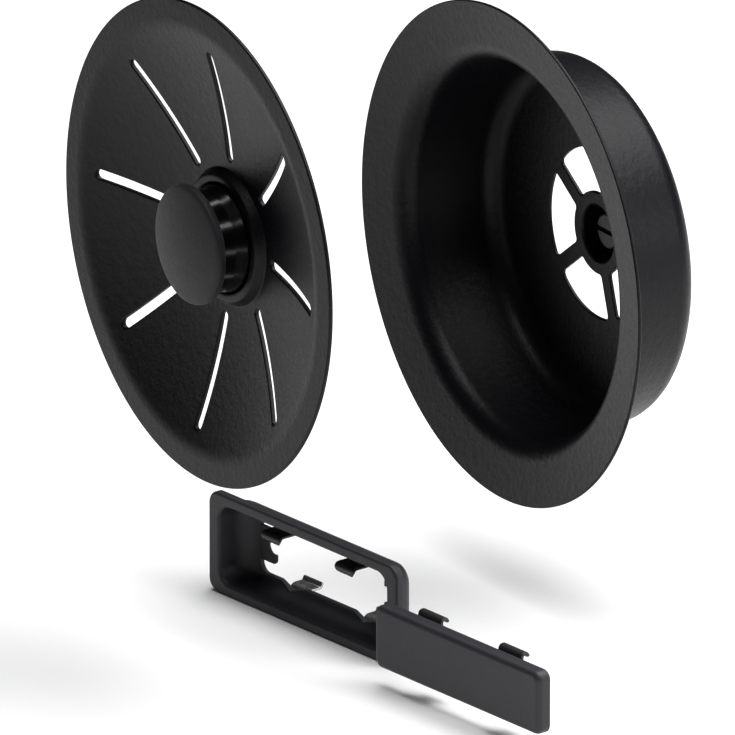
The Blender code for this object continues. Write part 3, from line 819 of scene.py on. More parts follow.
# ---- assemblies -------------------------------------------------------------------------
@dataclass
class Assembly:
    """A sub-assembly that rides on one body and stands at one of its CAD nodes."""

    body: str = ""
    datum: str = ""              # the node whose front centre is the origin
    turn: float = 0.0            # about the vertical, degrees

    def place(self) -> tuple[Matrix, Vector]:
        """Finds the front centre of the datum node.

        Returns:
            The assembly's turn, and its place in the frame.
        """
        turn = Matrix.Rotation(math.radians(self.turn), 4, "Z")
        back = turn.inverted()
        spots = [back @ vertex.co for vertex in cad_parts[self.datum].data.vertices]
        low = [min(values) for values in zip(*spots)]
        high = [max(values) for values in zip(*spots)]
        centre = Vector(((low[0] + high[0]) / 2, low[1], (low[2] + high[2]) / 2))
        return turn, turn @ centre

    def fit(
        self, piece: bpy.types.Object, finish: Finish, slot: str, node: str,
        spot: Point = (0.0, 0.0),
    ) -> None:
        """Dresses a piece and fits it in place of its CAD node.

        Args:
            piece: The piece, modelled about the assembly's origin.
            finish: Its finish.
            slot: The record's slot for that finish; not used.
            node: The CAD node that it replaces.
            spot: Where its own origin lies across and up, mm.
        """
        piece.data.materials.clear()
        piece.data.materials.append(finish.material())
        piece.data.shade_smooth()
        piece.data.set_sharp_from_angle(angle=SHARP_ANGLE)
        normals = piece.modifiers.new("even_shading", "WEIGHTED_NORMAL")
        normals.keep_sharp = True
        normals.weight = 80
        turn, place = self.place()
        piece.data.transform(turn)
        piece.location = place + turn @ (Vector((spot[0], 0.0, spot[1])) * MM)
        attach(piece, self.body)
        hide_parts(node)
        LOG.info("%s: %s in %s", self.body, piece.name, finish.name)

    def build(self) -> None:
        """Builds and fits every piece."""
        raise NotImplementedError


@dataclass
class WasteCup(Assembly):
    """The flanged cup with its grid, its gasket and its fixing screw."""

    body: str = "waste_cup"
    datum: str = "waste_cup"
    flange_radius: float = 56.75
    flange_slope: float = 0.184
    sheet: float = 0.8
    cut_edge: float = 0.3
    mouth_radius: float = 43.0
    mouth_bend: float = 5.5
    floor_radius: float = 40.5
    floor_corner: float = 4.8
    depth: float = 25.0
    hub_depth: float = 25.6
    hub_radius: float = 9.5
    dimple_radius: float = 6.3
    dimple_foot: float = 5.5
    dimple_depth: float = 6.0
    dimple_bend: float = 0.9
    hole_radius: float = 3.3
    grid_radius: float = 19.4
    spokes: int = 5
    spoke_width: float = 3.6
    spoke_phase: float = 1.5     # degrees
    opening_corner: float = 1.0
    opening_lip: float = 0.35
    gap: float = 0.3
    screw_radius: float = 3.0
    screw_length: float = 12.0
    head_radius: float = 4.6
    head_height: float = 2.2
    slot_width: float = 1.2
    slot_depth: float = 1.0
    thread_pitch: float = 1.0
    thread_depth: float = 0.45
    thread_fade: float = 0.8     # length over which the thread comes and goes
    washer_radius: float = 4.8
    washer_thickness: float = 0.8
    gasket_width: float = 2.3
    gasket_thickness: float = 1.0

    def flange_depth(self, radius: float) -> float:
        """Depth of the flange's front face at a radius."""
        return (self.flange_radius - radius) * self.flange_slope

    def floor_depth(self, radius: float) -> float:
        """Depth of the floor's front face at a radius."""
        share = (radius - self.hub_radius) / (self.floor_radius - self.hub_radius)
        return self.hub_depth + (self.depth - self.hub_depth) * max(share, 0.0)

    @property
    def dimple_floor(self) -> float:
        """Depth of the dimple's floor."""
        return self.hub_depth + self.dimple_depth

    def shell(self) -> bpy.types.Object:
        """Presses the cup and cuts the openings of its grid."""
        profile = sheet_profile([
            (self.hole_radius, self.dimple_floor),
            (self.dimple_foot, self.dimple_floor, self.dimple_bend),
            (self.dimple_radius, self.hub_depth, self.dimple_bend),
            (self.hub_radius, self.hub_depth),
            (self.floor_radius, self.depth, self.floor_corner),
            (self.mouth_radius, self.flange_depth(self.mouth_radius), self.mouth_bend),
            (self.flange_radius, 0.0),
        ], self.sheet, self.cut_edge)
        cup = turned("cup_shell", profile, FULL_TURN)
        worked(cup, [self.opening(number) for number in range(self.spokes)], Cut.AWAY)
        return cup

    def opening(self, number: int) -> bpy.types.Object:
        """A tool for the opening between two spokes, with a lip that eases its front edge.

        Args:
            number: Which opening.

        Returns:
            The tool.
        """
        pitch = math.tau / self.spokes
        start = math.radians(self.spoke_phase) + number * pitch
        outline: list[Corner] = []
        for radius, steps, forward in ((self.hub_radius, 12, True), (self.grid_radius, 20, False)):
            inset = math.asin(self.spoke_width / 2 / radius)
            first, sweep = start + inset, pitch - 2 * inset
            if not forward:
                first, sweep = first + sweep, -sweep
            clear = math.copysign(1.6 * self.opening_corner / radius, sweep)
            ends = arc((0.0, 0.0), radius, first, sweep, 1)
            outline.append((*ends[0], self.opening_corner))
            outline += arc((0.0, 0.0), radius, first + clear, sweep - 2 * clear, steps)
            outline.append((*ends[1], self.opening_corner))
        closed = bent(outline, closed=True, steps=6)
        return lipped_tool(
            f"opening_tool_{number}", closed, self.opening_lip, self.floor_depth,
            (self.depth - 3.0, self.dimple_floor),
        )

    def gasket(self) -> bpy.types.Object:
        """The rubber ring behind the flange."""
        inner = self.mouth_radius + self.mouth_bend
        outer = inner + self.gasket_width
        gone = self.sheet * math.hypot(1.0, self.flange_slope) + self.gap
        back = self.sheet + self.gap + self.flange_depth(inner) + self.gasket_thickness
        edge = 0.22
        profile = bent([
            (inner, self.flange_depth(inner) + gone, edge),
            (outer, self.flange_depth(outer) + gone, edge),
            (outer, back, edge), (inner, back, edge),
        ], closed=True, steps=4)
        return turned("flange_gasket_ring", profile, FULL_TURN)

    def washer(self) -> bpy.types.Object:
        """The rubber washer under the screw's head."""
        front = self.dimple_floor - self.gap - self.washer_thickness
        return turned("screw_washer_ring", ring_profile(
            self.hole_radius, self.washer_radius, front, self.washer_thickness, 0.2))

    def screw(self) -> bpy.types.Object:
        """The slotted screw with its rolled thread."""
        head_back = self.dimple_floor - 2 * self.gap - self.washer_thickness
        head_front = head_back - self.head_height
        end = self.dimple_floor + self.screw_length
        start = self.dimple_floor + self.sheet
        shank = bent([
            (0.0, head_front), (self.head_radius * 0.84, head_front, 0.8),
            (self.head_radius, head_front + self.head_height * 0.5, 0.5),
            (self.head_radius, head_back, 0.15), (self.screw_radius, head_back, 0.1),
            (self.screw_radius, start),
        ], steps=5)
        threaded = [(self.screw_radius, start), (self.screw_radius, end - self.thread_fade)]
        profile = [*shank, *finely(threaded, self.thread_pitch / 8)[1:]]
        profile += [(self.screw_radius * 0.72, end), (0.0, end)]

        def thread(depth: float, angle: float) -> float:
            """How far the thread cuts in at a depth and an angle."""
            turn = (depth / self.thread_pitch - angle / math.tau) % 1.0
            fade = min(max((depth - start) / self.thread_fade, 0.0), 1.0)
            fade *= min(max((end - 0.05 - depth) / 0.5, 0.0), 1.0)
            return self.thread_depth * fade * (1 - abs(2 * turn - 1))

        screw = turned("fixing_screw", profile, SMALL_TURN, thread)
        slot = round_rectangle(3 * self.head_radius, self.slot_width, 0.1, steps=2)
        tool = layered("slot_tool", [
            (slot, head_front - self.slot_depth), (slot, head_front + self.slot_depth),
        ])
        worked(screw, [tool], Cut.AWAY)
        return screw

    def build(self) -> None:
        """Builds and fits every piece."""
        self.fit(self.shell(), PowderCoatedSteel(), "coated_steel", "waste_cup")
        self.fit(self.gasket(), NitrileRubber(), "seal_rubber", "flange_gasket")
        self.fit(self.washer(), NitrileRubber(), "seal_rubber", "screw_washer")
        # The screw's near-black colour is painted shade for the shadowed hub.
        self.fit(self.screw(), ShadowDarkenedSteel(), "blackened_steel", "centre_screw")


def ring_profile(
    inner: float, outer: float, front: float, thickness: float, edge: float,
) -> list[Point]:
    """Profile of a flat ring with eased edges.

    Args:
        inner: Inner radius.
        outer: Outer radius.
        front: Depth of its front.
        thickness: Its thickness.
        edge: Radius of its edges.

    Returns:
        The closed profile.
    """
    back = front + thickness
    return bent([
        (inner, front, edge), (outer, front, edge), (outer, back, edge), (inner, back, edge),
    ], closed=True, steps=4)


def lipped_tool(
    name: str, outline: Sequence[Point], lip: float, surface: Callable[[float], float],
    reach: tuple[float, float],
) -> bpy.types.Object:
    """A tool that cuts an opening through a turned sheet and rounds its front edge.

    Args:
        name: The tool's name.
        outline: The opening's outline.
        lip: Radius of the rounded edge.
        surface: Depth of the sheet's front at a radius.
        reach: Depths at which the tool starts and ends.

    Returns:
        The tool.
    """
    start = math.radians(20)
    turns = [start + (math.pi / 2 - start) * step / 4 for step in range(5)]
    above = 0.1 + lip * (1 - math.cos(start))
    flare = lip * (1 - math.sin(start)) + above / math.tan(start)
    steps = [(flare, -0.1)]
    steps += [(lip * (1 - math.sin(turn)), lip * (1 - math.cos(turn))) for turn in turns]
    layers: list[Layer] = [(grown(outline, flare), reach[0])]
    for outset, below in steps:
        here = grown(outline, outset)
        layers.append((here, [surface(math.hypot(u, v)) + below for u, v in here]))
    layers.append((list(outline), reach[1]))
    return layered(name, layers)


@dataclass
class Strainer(Assembly):
    """The slotted disc, its knob, and the stem with its stopper behind it."""

    body: str = "strainer"
    datum: str = "strainer_disc"
    radius: float = 54.5
    sheet: float = 1.0
    cut_edge: float = 0.4
    band: float = 48.5           # inner radius of the flat band
    band_bend: float = 3.0
    dish_depth: float = 9.2
    seat_depth: float = 9.0
    boss_foot: float = 15.6
    boss_outer: float = 14.2
    boss_top: float = 6.0
    slots: int = 8
    slot_inner: float = 17.7
    slot_outer: float = 44.4
    slot_width: float = 2.3
    slot_phase: float = -3.4     # degrees
    slot_lip: float = 0.35
    knob_radius: float = 12.0
    cap_radius: float = 13.4
    cap_front: float = -4.4
    cap_dome: float = 1.9
    cap_edge: float = 1.8
    knob_front: float = -0.4
    knob_back: float = 8.7
    waist: float = 0.6           # how far the knob draws in
    waist_depth: float = 3.4
    flare_depth: float = 6.2
    gap: float = 0.3
    stem_radius: float = 3.5
    stem_start: float = 2.0
    stem_end: float = 26.29
    groove: float = 0.6
    collar_radius: float = 12.0
    collar_front: float = 10.3
    collar_thickness: float = 1.5
    seal_radius: float = 11.4
    seal_front: float = 12.1
    seal_thickness: float = 1.2
    snap_radius: float = 5.5
    snap_front: float = 13.6
    snap_thickness: float = 0.8
    tip_radius: float = 4.8
    tip_start: float = 24.09
    tip_end: float = 28.59

    def dish(self, radius: float) -> float:
        """Depth of the dish's front face at a radius."""
        return self.dish_depth * (1 - (radius / self.band) ** 2)

    def disc(self) -> bpy.types.Object:
        """Presses the dish with its boss and its flat band, and cuts the slots."""
        inner = self.knob_radius + self.gap
        hole = self.stem_radius + self.gap
        start, end = self.boss_foot, self.band - self.band_bend / 2
        dish = [
            (start + (end - start) * step / 28, self.dish(start + (end - start) * step / 28))
            for step in range(29)
        ]
        slope = -2 * self.dish_depth * end / self.band ** 2
        knee = Vector((end - self.dish(end) / slope, 0.0))
        first, last = Vector(dish[-1]), Vector((self.band + self.band_bend / 2, 0.0))
        bend = [
            tuple(first.lerp(knee, step / 6).lerp(knee.lerp(last, step / 6), step / 6))
            for step in range(1, 7)
        ]
        front = bent([
            (hole, self.seat_depth), (inner, self.seat_depth, 0.3),
            (inner, self.boss_top, 0.7), (self.boss_outer, self.boss_top, 0.9),
            (self.boss_foot - 0.1, self.dish(self.boss_foot), 0.5), dish[1],
        ], steps=6)
        line = [*front, *dish[2:], *bend]
        edge = self.cut_edge
        rim = bent([
            line[-1], (self.radius, 0.0, edge), (self.radius, self.sheet, edge),
            (last.x, self.sheet),
        ], steps=5)[1:-1]
        back = [(r, depth + self.sheet) for r, depth in [*dish, *bend]]
        seat = [(hole, self.seat_depth + self.sheet), (inner, self.seat_depth + self.sheet)]
        disc = turned("slotted_disc", [*line, *rim, *back[::-1], *seat[::-1]], FULL_TURN)
        worked(disc, [self.slot_tool(number) for number in range(self.slots)], Cut.AWAY)
        return disc

    def slot_tool(self, number: int) -> bpy.types.Object:
        """A tool for one drain slot with round ends.

        Args:
            number: Which slot.

        Returns:
            The tool.
        """
        length = self.slot_outer - self.slot_inner
        middle = (self.slot_outer + self.slot_inner) / 2
        angle = math.radians(self.slot_phase) + number * math.tau / self.slots
        turn = Matrix.Rotation(angle, 2)
        plain = round_rectangle(length, self.slot_width, self.slot_width / 2, steps=6)
        side = finely([*plain, plain[0]], 1.2)[:-1]
        outline = [tuple(turn @ Vector((u + middle, v))) for u, v in side]
        return lipped_tool(
            f"slot_tool_{number}", outline, self.slot_lip, self.dish,
            (-3.0, self.dish_depth + 8.0),
        )

    def cap(self) -> bpy.types.Object:
        """The domed cap of the knob."""
        dome = (self.cap_radius ** 2 + self.cap_dome ** 2) / (2 * self.cap_dome)
        reach = math.asin((self.cap_radius - 1.0) / dome)
        turns = [reach * k / 16 for k in range(17)]
        crown = [
            (dome * math.sin(turn), self.cap_front + dome * (1 - math.cos(turn))) for turn in turns
        ]
        back = self.cap_front + self.cap_dome + self.cap_edge
        side = bent([
            crown[-1], (self.cap_radius, crown[-1][1] + 0.45, 0.9), (self.cap_radius, back, 0.35),
            (self.cap_radius - 1.2, back), (0.0, back),
        ], steps=6)
        return turned("knob_cap_dome", [*crown, *side[1:]], FULL_TURN)

    def knob(self) -> bpy.types.Object:
        """The gloss body of the knob, bored for the stem."""
        bore = self.stem_radius + self.gap
        top = self.stem_start - self.gap
        profile = bent([
            (0.0, self.knob_front), (self.knob_radius - 0.5, self.knob_front, 0.4),
            (self.knob_radius - self.waist, self.knob_front + self.waist_depth, 3.0),
            (self.knob_radius, self.knob_front + self.flare_depth, 3.0),
            (self.knob_radius, self.knob_back, 0.4), (bore, self.knob_back, 0.3),
            (bore, top), (0.0, top),
        ], steps=6)
        return turned("knob_barrel", profile, FULL_TURN)

    def stem(self) -> bpy.types.Object:
        """The turned stem with the groove for its snap ring."""
        core = self.stem_radius - self.groove
        snap_back = self.snap_front + self.snap_thickness + self.gap / 2
        neck = self.tip_start - self.gap
        return turned("stem_rod", bent([
            (0.0, self.stem_start), (self.stem_radius, self.stem_start, 0.3),
            (self.stem_radius, self.snap_front - self.gap / 2, 0.1),
            (core, self.snap_front - self.gap / 2), (core, snap_back),
            (self.stem_radius, snap_back, 0.1), (self.stem_radius, neck, 0.2),
            (core, neck), (core, self.stem_end, 0.3), (0.0, self.stem_end),
        ], steps=4))

    def snap_ring(self) -> bpy.types.Object:
        """The open snap ring in the stem's groove."""
        inner = self.stem_radius - self.groove + self.gap
        opening = math.radians(34)
        sweep = math.tau - 2 * opening
        outline = bent([
            *[(*p, 0.0) for p in arc((0.0, 0.0), self.snap_radius, opening, sweep, 48)],
            *[(*p, 0.0) for p in arc((0.0, 0.0), inner, -opening, -sweep, 48)],
        ], closed=True)
        back = self.snap_front + self.snap_thickness
        return eased_slab("open_snap_ring", outline, self.snap_front, back, 0.12)

    def tip(self) -> bpy.types.Object:
        """The bullet that guides the stem into the cup."""
        length = self.tip_end - self.tip_start
        bore = self.stem_radius - self.groove + self.gap
        socket = self.tip_start + 2.5
        return turned("stem_bullet", bent([
            (0.0, socket), (bore, socket), (bore, self.tip_start, 0.1),
            (self.tip_radius * 0.9, self.tip_start, 0.3),
            (self.tip_radius, self.tip_start + length * 0.2, 0.6),
            (self.tip_radius, self.tip_start + length * 0.5, 1.2),
            (self.tip_radius * 0.75, self.tip_start + length * 0.9, 0.8),
            (self.tip_radius * 0.45, self.tip_end, 0.5), (0.0, self.tip_end),
        ], steps=6))

    def build(self) -> None:
        """Builds and fits every piece."""
        bore = self.stem_radius + self.gap
        collar = turned("collar_ring", ring_profile(
            bore, self.collar_radius, self.collar_front, self.collar_thickness, 0.35))
        seal = turned("stopper_ring", ring_profile(
            bore, self.seal_radius, self.seal_front, self.seal_thickness, 0.45))
        self.fit(self.disc(), PowderCoatedSteel(), "coated_steel", "strainer_disc")
        self.fit(self.cap(), SoftTouchElastomer(), "soft_touch_plastic", "knob_cap")
        self.fit(self.knob(), PolishedAbs(), "gloss_plastic", "knob_body")
        self.fit(collar, MouldedAcetal(), "moulded_plastic", "retaining_collar")
        self.fit(seal, NitrileRubber(), "seal_rubber", "stopper_seal")
        self.fit(self.snap_ring(), TurnedStainlessSteel(), "bright_steel", "snap_ring")
        self.fit(self.stem(), TurnedStainlessSteel(), "bright_steel", "stem")
        self.fit(self.tip(), MouldedAcetal(), "moulded_plastic", "stem_tip")


class Hand(Enum):
    """Which side of an overflow piece a small part sits on."""

    LEFT = -1
    RIGHT = 1

    @property
    def word(self) -> str:
        """The side's name in piece names."""
        return self.name.lower()


@dataclass
class OverflowFrame(Assembly):
    """The slim frame with its well, claws, leaves and gasket."""

    body: str = "overflow_frame"
    datum: str = "overflow_frame"
    turn: float = 7.0
    width: float = 65.5
    height: float = 23.5
    corner: float = 3.0
    rim: float = 2.1
    outer_edge: float = 0.7
    inner_edge: float = 0.9
    mouth_width: float = 57.9
    mouth_height: float = 18.1
    mouth_corner: float = 3.5
    rear_width: float = 47.9
    rear_height: float = 13.7
    rear_corner: float = 2.4
    straight: float = 3.8
    well_depth: float = 7.8
    wall: float = 1.0
    claw_reach: float = 18.75
    claw_height: float = 8.2
    notch_radius: float = 1.9
    notch_inset: float = 0.8
    vee_width: float = 8.8
    vee_depth: float = 1.4
    leaf_place: float = 12.75
    leaf_width: float = 6.6
    leaf: float = 0.6
    leaf_back: float = 13.2
    leaf_foot: float = 0.7
    leaf_pass: float = 0.35
    leaf_front: float = 1.4
    leaf_cheek: float = 1.3
    leaf_curl: float = 0.9
    leaf_tip: float = 4.15
    leaf_notch: float = 0.45
    leaf_taper: float = 1.8      # length over which a hook narrows
    leaf_narrowing: float = 3.0
    gap: float = 0.3
    gasket_border: float = 0.6
    gasket_thickness: float = 0.8

    def well(self, turn: float, wall: float = 0.0) -> Layer:
        """The well's outline where its side has turned in by an angle.

        Args:
            turn: Angle, from 0 at the straight side to a quarter turn at the floor.
            wall: Distance outside the well's inner face.

        Returns:
            The outline and its depth.
        """
        share = 1 - math.cos(turn)
        width = self.mouth_width + 2 * wall
        height = self.mouth_height + 2 * wall
        corner = self.mouth_corner + wall
        outline = round_rectangle(
            width + (self.rear_width - width) * share,
            height + (self.rear_height - height) * share,
            corner + (self.rear_corner - corner) * share,
        )
        return outline, self.straight + (self.well_depth + wall - self.straight) * math.sin(turn)

    def casting(self) -> bpy.types.Object:
        """The frame itself, from its rim to the claws round its rear opening."""
        quarter = [math.pi / 2 * step / 6 for step in range(7)]
        layers: list[Layer] = []
        for turn in quarter:
            inset = self.outer_edge * (1 - math.sin(turn))
            layers.append((
                round_rectangle(
                    self.width - 2 * inset, self.height - 2 * inset, self.corner - inset * 0.6),
                self.outer_edge * (1 - math.cos(turn)),
            ))
        layers.append((round_rectangle(self.width, self.height, self.corner), self.rim - 0.2))
        layers.append((
            round_rectangle(self.width - 0.4, self.height - 0.4, self.corner - 0.2), self.rim))
        turns = [math.pi / 2 * step / 12 for step in range(13)]
        layers.append((self.well(0.0, self.wall)[0], self.rim))
        layers += [self.well(turn, self.wall) for turn in turns]
        layers += [self.well(turn) for turn in reversed(turns)]
        for turn in reversed(quarter):
            outset = self.inner_edge * (1 - math.sin(turn))
            layers.append((
                round_rectangle(
                    self.mouth_width + 2 * outset, self.mouth_height + 2 * outset,
                    self.mouth_corner + outset),
                self.inner_edge * (1 - math.cos(turn)),
            ))
        casting = layered("overflow_casting", layers, ring=True)
        worked(casting, [self.claw(hand) for hand in Hand], Cut.JOINED)
        worked(casting, [self.vee(hand) for hand in Hand], Cut.AWAY)
        return casting

    def claw(self, hand: Hand) -> bpy.types.Object:
        """One C-shaped claw beside the rear opening.

        Args:
            hand: The side it is on.

        Returns:
            The claw, to be joined on.
        """
        root = self.rear_width / 2 + self.wall
        top = self.claw_height / 2
        lip = math.asin(self.notch_inset / self.notch_radius)
        notch = arc(
            (self.claw_reach + self.notch_inset, 0.0), self.notch_radius,
            math.pi / 2 + lip, -(math.pi + 2 * lip), 16,
        )
        corners: list[Corner] = [(root, top), (self.claw_reach, top, 1.1), *notch]
        corners += [(self.claw_reach, -top, 1.1), (root, -top)]
        corners[2] = (*notch[0], 0.25)
        corners[-3] = (*notch[-1], 0.25)
        outline = [(hand.value * u, v) for u, v in bent(corners, steps=6)]
        inset = self.wall / 10
        return eased_slab(
            f"claw_{hand.word}", outline, self.well_depth + inset,
            self.well_depth + self.wall - inset, 0.22,
        )

    def vee(self, hand: Hand) -> bpy.types.Object:
        """A tool for one vee in the lower edge of the rear opening.

        Args:
            hand: The side it is on.

        Returns:
            The tool.
        """
        edge = -self.rear_height / 2
        centre = hand.value * self.leaf_place
        rise = self.vee_depth / 2
        half = self.vee_width / 2 * (self.vee_depth + rise) / self.vee_depth
        outline = bent([
            (centre - half, edge + rise), (centre, edge - self.vee_depth, 1.2),
            (centre + half, edge + rise),
        ], closed=True, steps=5)
        return layered(f"vee_tool_{hand.word}", [
            (outline, self.well_depth - 3 * self.wall), (outline, self.well_depth + 2 * self.wall),
        ])

    def top_clip(self, hand: Hand) -> bpy.types.Object:
        """An upper leaf that reaches forward through the rear opening and curls down.

        Args:
            hand: The side it is on.

        Returns:
            The leaf.
        """
        behind = self.leaf_marks()[2]
        under = self.rear_height / 2 - self.leaf_pass - self.leaf / 2
        foremost = self.leaf_front + self.leaf / 2
        line = bent([
            (behind, self.rear_height / 2 + self.leaf_foot), (behind, under, 0.6),
            (foremost, under, 0.9), (foremost, under - self.leaf_cheek, 0.6),
            (foremost + self.leaf_curl, self.leaf_tip),
        ])

        def width(left: float) -> float:
            """The leaf narrows towards its curled tip."""
            share = max(0.0, 1 - left / self.leaf_taper)
            return self.leaf_width - self.leaf_narrowing * share ** 1.5

        centre = hand.value * self.leaf_place
        leaf = strip(f"hook_leaf_{hand.word}", line, centre, self.leaf, width)
        ring = arc((0.0, self.leaf_tip), self.leaf_notch, 0.0, math.tau * 11 / 12, 11)
        notch = [(centre + u, v) for u, v in ring]
        tool = layered("notch_tool", [(notch, foremost), (notch, foremost + 2 * self.leaf_curl)])
        worked(leaf, [tool], Cut.AWAY)
        return leaf

    def bottom_spring(self, hand: Hand) -> bpy.types.Object:
        """A lower leaf that shows bright through its vee.

        Args:
            hand: The side it is on.

        Returns:
            The leaf.
        """
        start, level, behind = self.leaf_marks()
        rear = self.rear_height / 2 + 2 * self.leaf
        line = bent([
            (start, -level), (self.well_depth, -level, 1.8), (behind + 2 * self.leaf, -rear, 1.8),
            (self.leaf_back, -rear, 0.6), (self.leaf_back + self.leaf, -self.rear_height / 2),
        ])
        centre = hand.value * self.leaf_place
        return strip(
            f"bright_leaf_{hand.word}", line, centre, self.leaf, lambda left: self.leaf_width)

    def leaf_marks(self) -> tuple[float, float, float]:
        """Heights and depths that both kinds of leaf share.

        Returns:
            Depth where they start, height beside the well, and depth behind its floor.
        """
        start = self.rim + self.gasket_thickness + 2 * self.gap
        level = self.mouth_height / 2 + self.wall + self.gap + self.leaf / 2
        return start, level, self.well_depth + self.wall + self.gap + self.leaf / 2

    def gasket(self) -> bpy.types.Object:
        """The rubber ring behind the rim."""
        front = self.rim + self.gap
        back = front + self.gasket_thickness
        inner, outer = (
            round_rectangle(
                self.mouth_width + 2 * out, self.mouth_height + 2 * out, self.mouth_corner + out)
            for out in (self.wall + self.gap, self.wall + self.gap + self.gasket_border)
        )
        edge = 0.15
        return layered("frame_gasket_ring", [
            (grown(outer, -edge), front), (outer, front + edge), (outer, back - edge),
            (grown(outer, -edge), back), (grown(inner, edge), back), (inner, back - edge),
            (inner, front + edge), (grown(inner, edge), front),
        ], ring=True)

    def build(self) -> None:
        """Builds and fits every piece."""
        self.fit(self.casting(), PaintedZincCasting(), "coated_trim", "overflow_frame")
        self.fit(self.gasket(), NitrileRubber(), "seal_rubber", "frame_gasket")
        for hand in Hand:
            self.fit(self.top_clip(hand), BlackenedSpringSteel(), "black_spring_steel",
                     f"top_clip_{hand.word}")
            self.fit(self.bottom_spring(hand), RolledSpringSteel(), "bright_steel",
                     f"bottom_spring_{hand.word}")


@dataclass
class OverflowCover(Assembly):
    """The cover plate and the two spring clips riveted behind it."""

    body: str = "overflow_cover"
    datum: str = "cover_plate"
    turn: float = 7.0
    width: float = 56.5
    height: float = 14.5
    corner: float = 2.0
    thickness: float = 3.5
    edge: float = 1.36
    pocket_depth: float = 1.2
    pocket_border: float = 2.0
    clip_place: float = 13.75
    clip_width: float = 8.0
    clip: float = 0.8
    clip_reach: float = 6.3
    clip_rise: float = 0.95
    clip_turn_down: float = 0.9
    rivet_radius: float = 1.0
    rivet_head_radius: float = 1.8
    rivet_head: float = 0.6
    gap: float = 0.3

    @property
    def pocket_floor(self) -> float:
        """Depth of the pocket's floor."""
        return self.thickness - self.pocket_depth

    @property
    def rivet_foot(self) -> float:
        """Depth at which the rivets end inside the plate."""
        return self.pocket_floor - 1.4 * self.rivet_head

    def hole(self, hand: Hand) -> list[Point]:
        """Outline of the hole for one rivet.

        Args:
            hand: The side it is on.

        Returns:
            The outline.
        """
        last = ROUND_HOLE - 1
        ring = arc(
            (0.0, 0.0), self.rivet_radius + self.gap, 0.0, math.tau * last / ROUND_HOLE, last)
        return [(hand.value * self.clip_place + u, v) for u, v in ring]

    def plate(self) -> bpy.types.Object:
        """The softly rounded plate, with a pocket in its back."""
        layers: list[Layer] = []
        for step in range(9):
            turn = math.pi / 2 * step / 8
            inset = self.edge * (1 - math.sin(turn))
            layers.append((
                round_rectangle(
                    self.width - 2 * inset, self.height - 2 * inset, self.corner - 0.6 * inset),
                self.edge * (1 - math.cos(turn)),
            ))
        full = layers[-1][0]
        pocket = round_rectangle(
            self.width - 2 * self.pocket_border, self.height - 2 * self.pocket_border, self.corner)
        back = 0.25
        layers += [
            (full, self.thickness - back), (grown(full, -back), self.thickness),
            (grown(pocket, back), self.thickness), (pocket, self.thickness - back),
            (pocket, self.pocket_floor + back), (grown(pocket, -back), self.pocket_floor),
        ]
        plate = layered("cover_face", layers)
        foot = self.rivet_foot - self.gap
        tools = [
            layered(f"seat_tool_{hand.word}", [
                (self.hole(hand), foot), (self.hole(hand), self.thickness),
            ])
            for hand in Hand
        ]
        worked(plate, tools, Cut.AWAY)
        return plate

    def spring_clip(self, hand: Hand) -> bpy.types.Object:
        """A strip that lies in the pocket and rolls back above and below the plate.

        Args:
            hand: The side it is on.

        Returns:
            The clip.
        """
        base = self.pocket_floor + self.gap + self.clip / 2
        neck = self.height / 2 - self.pocket_border - self.gap - self.clip / 2
        rise = self.thickness + self.gap + self.clip / 2
        top = self.height / 2 + self.clip_rise - self.clip / 2
        back = self.clip_reach - self.clip / 2
        hook: list[Corner] = [
            (base, neck, 0.56), (rise, neck, 0.56), (rise, top, 0.8), (back, top, 0.8),
            (back, top - self.clip_turn_down),
        ]
        mirrored = [(corner[0], -corner[1], *corner[2:]) for corner in hook]
        centre = hand.value * self.clip_place
        made = strip(
            f"spring_clip_bent_{hand.word}", bent([*mirrored[::-1], *hook]), centre, self.clip,
            lambda left: self.clip_width,
        )
        hole = self.hole(hand)
        tool = layered("hole_tool", [(hole, self.pocket_floor - 1.0), (hole, self.thickness + 0.5)])
        worked(made, [tool], Cut.AWAY)
        return made

    def rivet(self, hand: Hand) -> bpy.types.Object:
        """A rivet with a low round head.

        Args:
            hand: The side it is on.

        Returns:
            The rivet, about its own axis.
        """
        head = self.pocket_floor + 2 * self.gap + self.clip
        foot = self.rivet_foot
        return turned(f"rivet_{hand.word}", bent([
            (0.0, foot), (self.rivet_radius, foot), (self.rivet_radius, head),
            (self.rivet_head_radius, head, 0.1),
            (self.rivet_head_radius * 0.7, head + self.rivet_head, 0.6),
            (0.0, head + self.rivet_head),
        ], steps=5), 48)

    def build(self) -> None:
        """Builds and fits every piece."""
        self.fit(self.plate(), PaintedZincCasting(), "coated_trim", "cover_plate")
        for hand in Hand:
            self.fit(self.spring_clip(hand), BlackenedSpringSteel(), "black_spring_steel",
                     f"cover_clip_{hand.word}")
            self.fit(self.rivet(hand), TurnedStainlessSteel(), "bright_steel",
                     f"clip_rivet_{hand.word}", (hand.value * self.clip_place, 0.0))


# ---- studio -----------------------------------------------------------------------------
@dataclass(frozen=True)
class Softbox:
    """A square studio light that points at the set."""

    name: str
    azimuth: float               # degrees from -Y towards +X
    elevation: float             # degrees
    distance: float              # metres
    size: float                  # metres
    power: float                 # watts


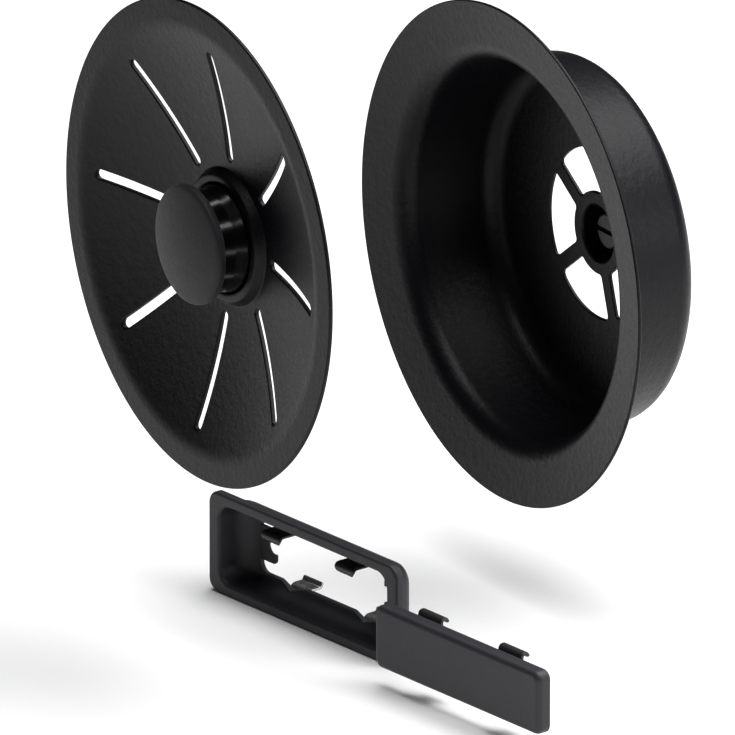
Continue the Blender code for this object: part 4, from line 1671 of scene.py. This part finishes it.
@dataclass
class Studio:
    """Floor, lights and camera."""

    azimuth: float = 57.8        # the camera's place, degrees
    elevation: float = 20.0
    distance: float = 6.0        # metres
    view_width: float = 161.2    # mm across at the set
    aim: tuple[float, float, float] = (-8.17, -28.88, -23.3)  # mm
    sensor: float = 36.0
    backdrop: str = "e6e6e8"
    backdrop_strength: float = 0.04
    boxes: tuple[Softbox, ...] = (
        Softbox("top_box", 150.0, 72.0, 0.9, 1.2, 23.0),
        Softbox("edge_box", 128.0, 16.0, 0.8, 0.30, 1.2),
    )

    def toward(self, azimuth: float, elevation: float) -> Vector:
        """Direction from the set to a place round it.

        Args:
            azimuth: Degrees from -Y towards +X.
            elevation: Degrees above the floor.

        Returns:
            A unit vector.
        """
        side, up = math.radians(azimuth), math.radians(elevation)
        return Vector((
            math.sin(side) * math.cos(up), -math.cos(side) * math.cos(up), math.sin(up)))

    def aimed(
        self, item: bpy.types.Object, azimuth: float, elevation: float, distance: float,
    ) -> None:
        """Stands a light or camera round the set and points it at the aim.

        Args:
            item: The light or camera.
            azimuth: Degrees from -Y towards +X.
            elevation: Degrees above the floor.
            distance: Metres from the aim.
        """
        way = self.toward(azimuth, elevation)
        item.location = Vector(self.aim) * MM + way * distance
        item.rotation_euler = way.to_track_quat("Z", "Y").to_euler()
        bpy.context.scene.collection.objects.link(item)

    def floor(self) -> None:
        """Lays a round sheet of paper under the lowest piece."""
        low = CAD_BOX[0].z / MM
        sheet = turned("paper_floor", [(0.0, 0.0), (2500.0, 0.0), (2500.0, 4.0), (0.0, 4.0)], 96)
        sheet.matrix_world = (
            Matrix.Translation(Vector((0.0, 0.0, low)) * MM) @ Matrix.Rotation(-math.pi / 2, 4, "X")
        )
        sheet.data.materials.append(StudioPaper().material())

    def light(self) -> None:
        """Hangs the softboxes and sets the room's own pale light."""
        for box in self.boxes:
            lamp = bpy.data.lights.new(box.name, "AREA")
            lamp.size = box.size
            lamp.energy = box.power
            item = bpy.data.objects.new(box.name, lamp)
            self.aimed(item, box.azimuth, box.elevation, box.distance)
        world = bpy.data.worlds.new("studio_room")
        world.use_nodes = True
        room = world.node_tree.nodes["Background"]
        room.inputs["Color"].default_value = linear(self.backdrop)
        room.inputs["Strength"].default_value = self.backdrop_strength
        bpy.context.scene.world = world

    def camera(self) -> None:
        """Sets a long lens on the set."""
        lens = bpy.data.cameras.new("set_camera")
        lens.sensor_width = self.sensor
        lens.lens = self.sensor * self.distance / (self.view_width * MM)
        lens.clip_start = 0.01
        item = bpy.data.objects.new("set_camera", lens)
        self.aimed(item, self.azimuth, self.elevation, self.distance)
        bpy.context.scene.camera = item
        bpy.context.scene.view_settings.view_transform = "Standard"

    def build(self) -> None:
        """Sets up the floor, the lights and the camera."""
        self.camera()
        self.floor()
        self.light()
        LOG.info("studio: %d softboxes", len(self.boxes))


def main() -> None:
    """Builds the assemblies and the studio."""
    logging.basicConfig(level=logging.INFO, format="%(message)s")
    assemblies: tuple[Assembly, ...] = (WasteCup(), Strainer(), OverflowFrame(), OverflowCover())
    Studio().build()
    for assembly in assemblies:
        assembly.build()


if __name__ == "__main__":
    main()
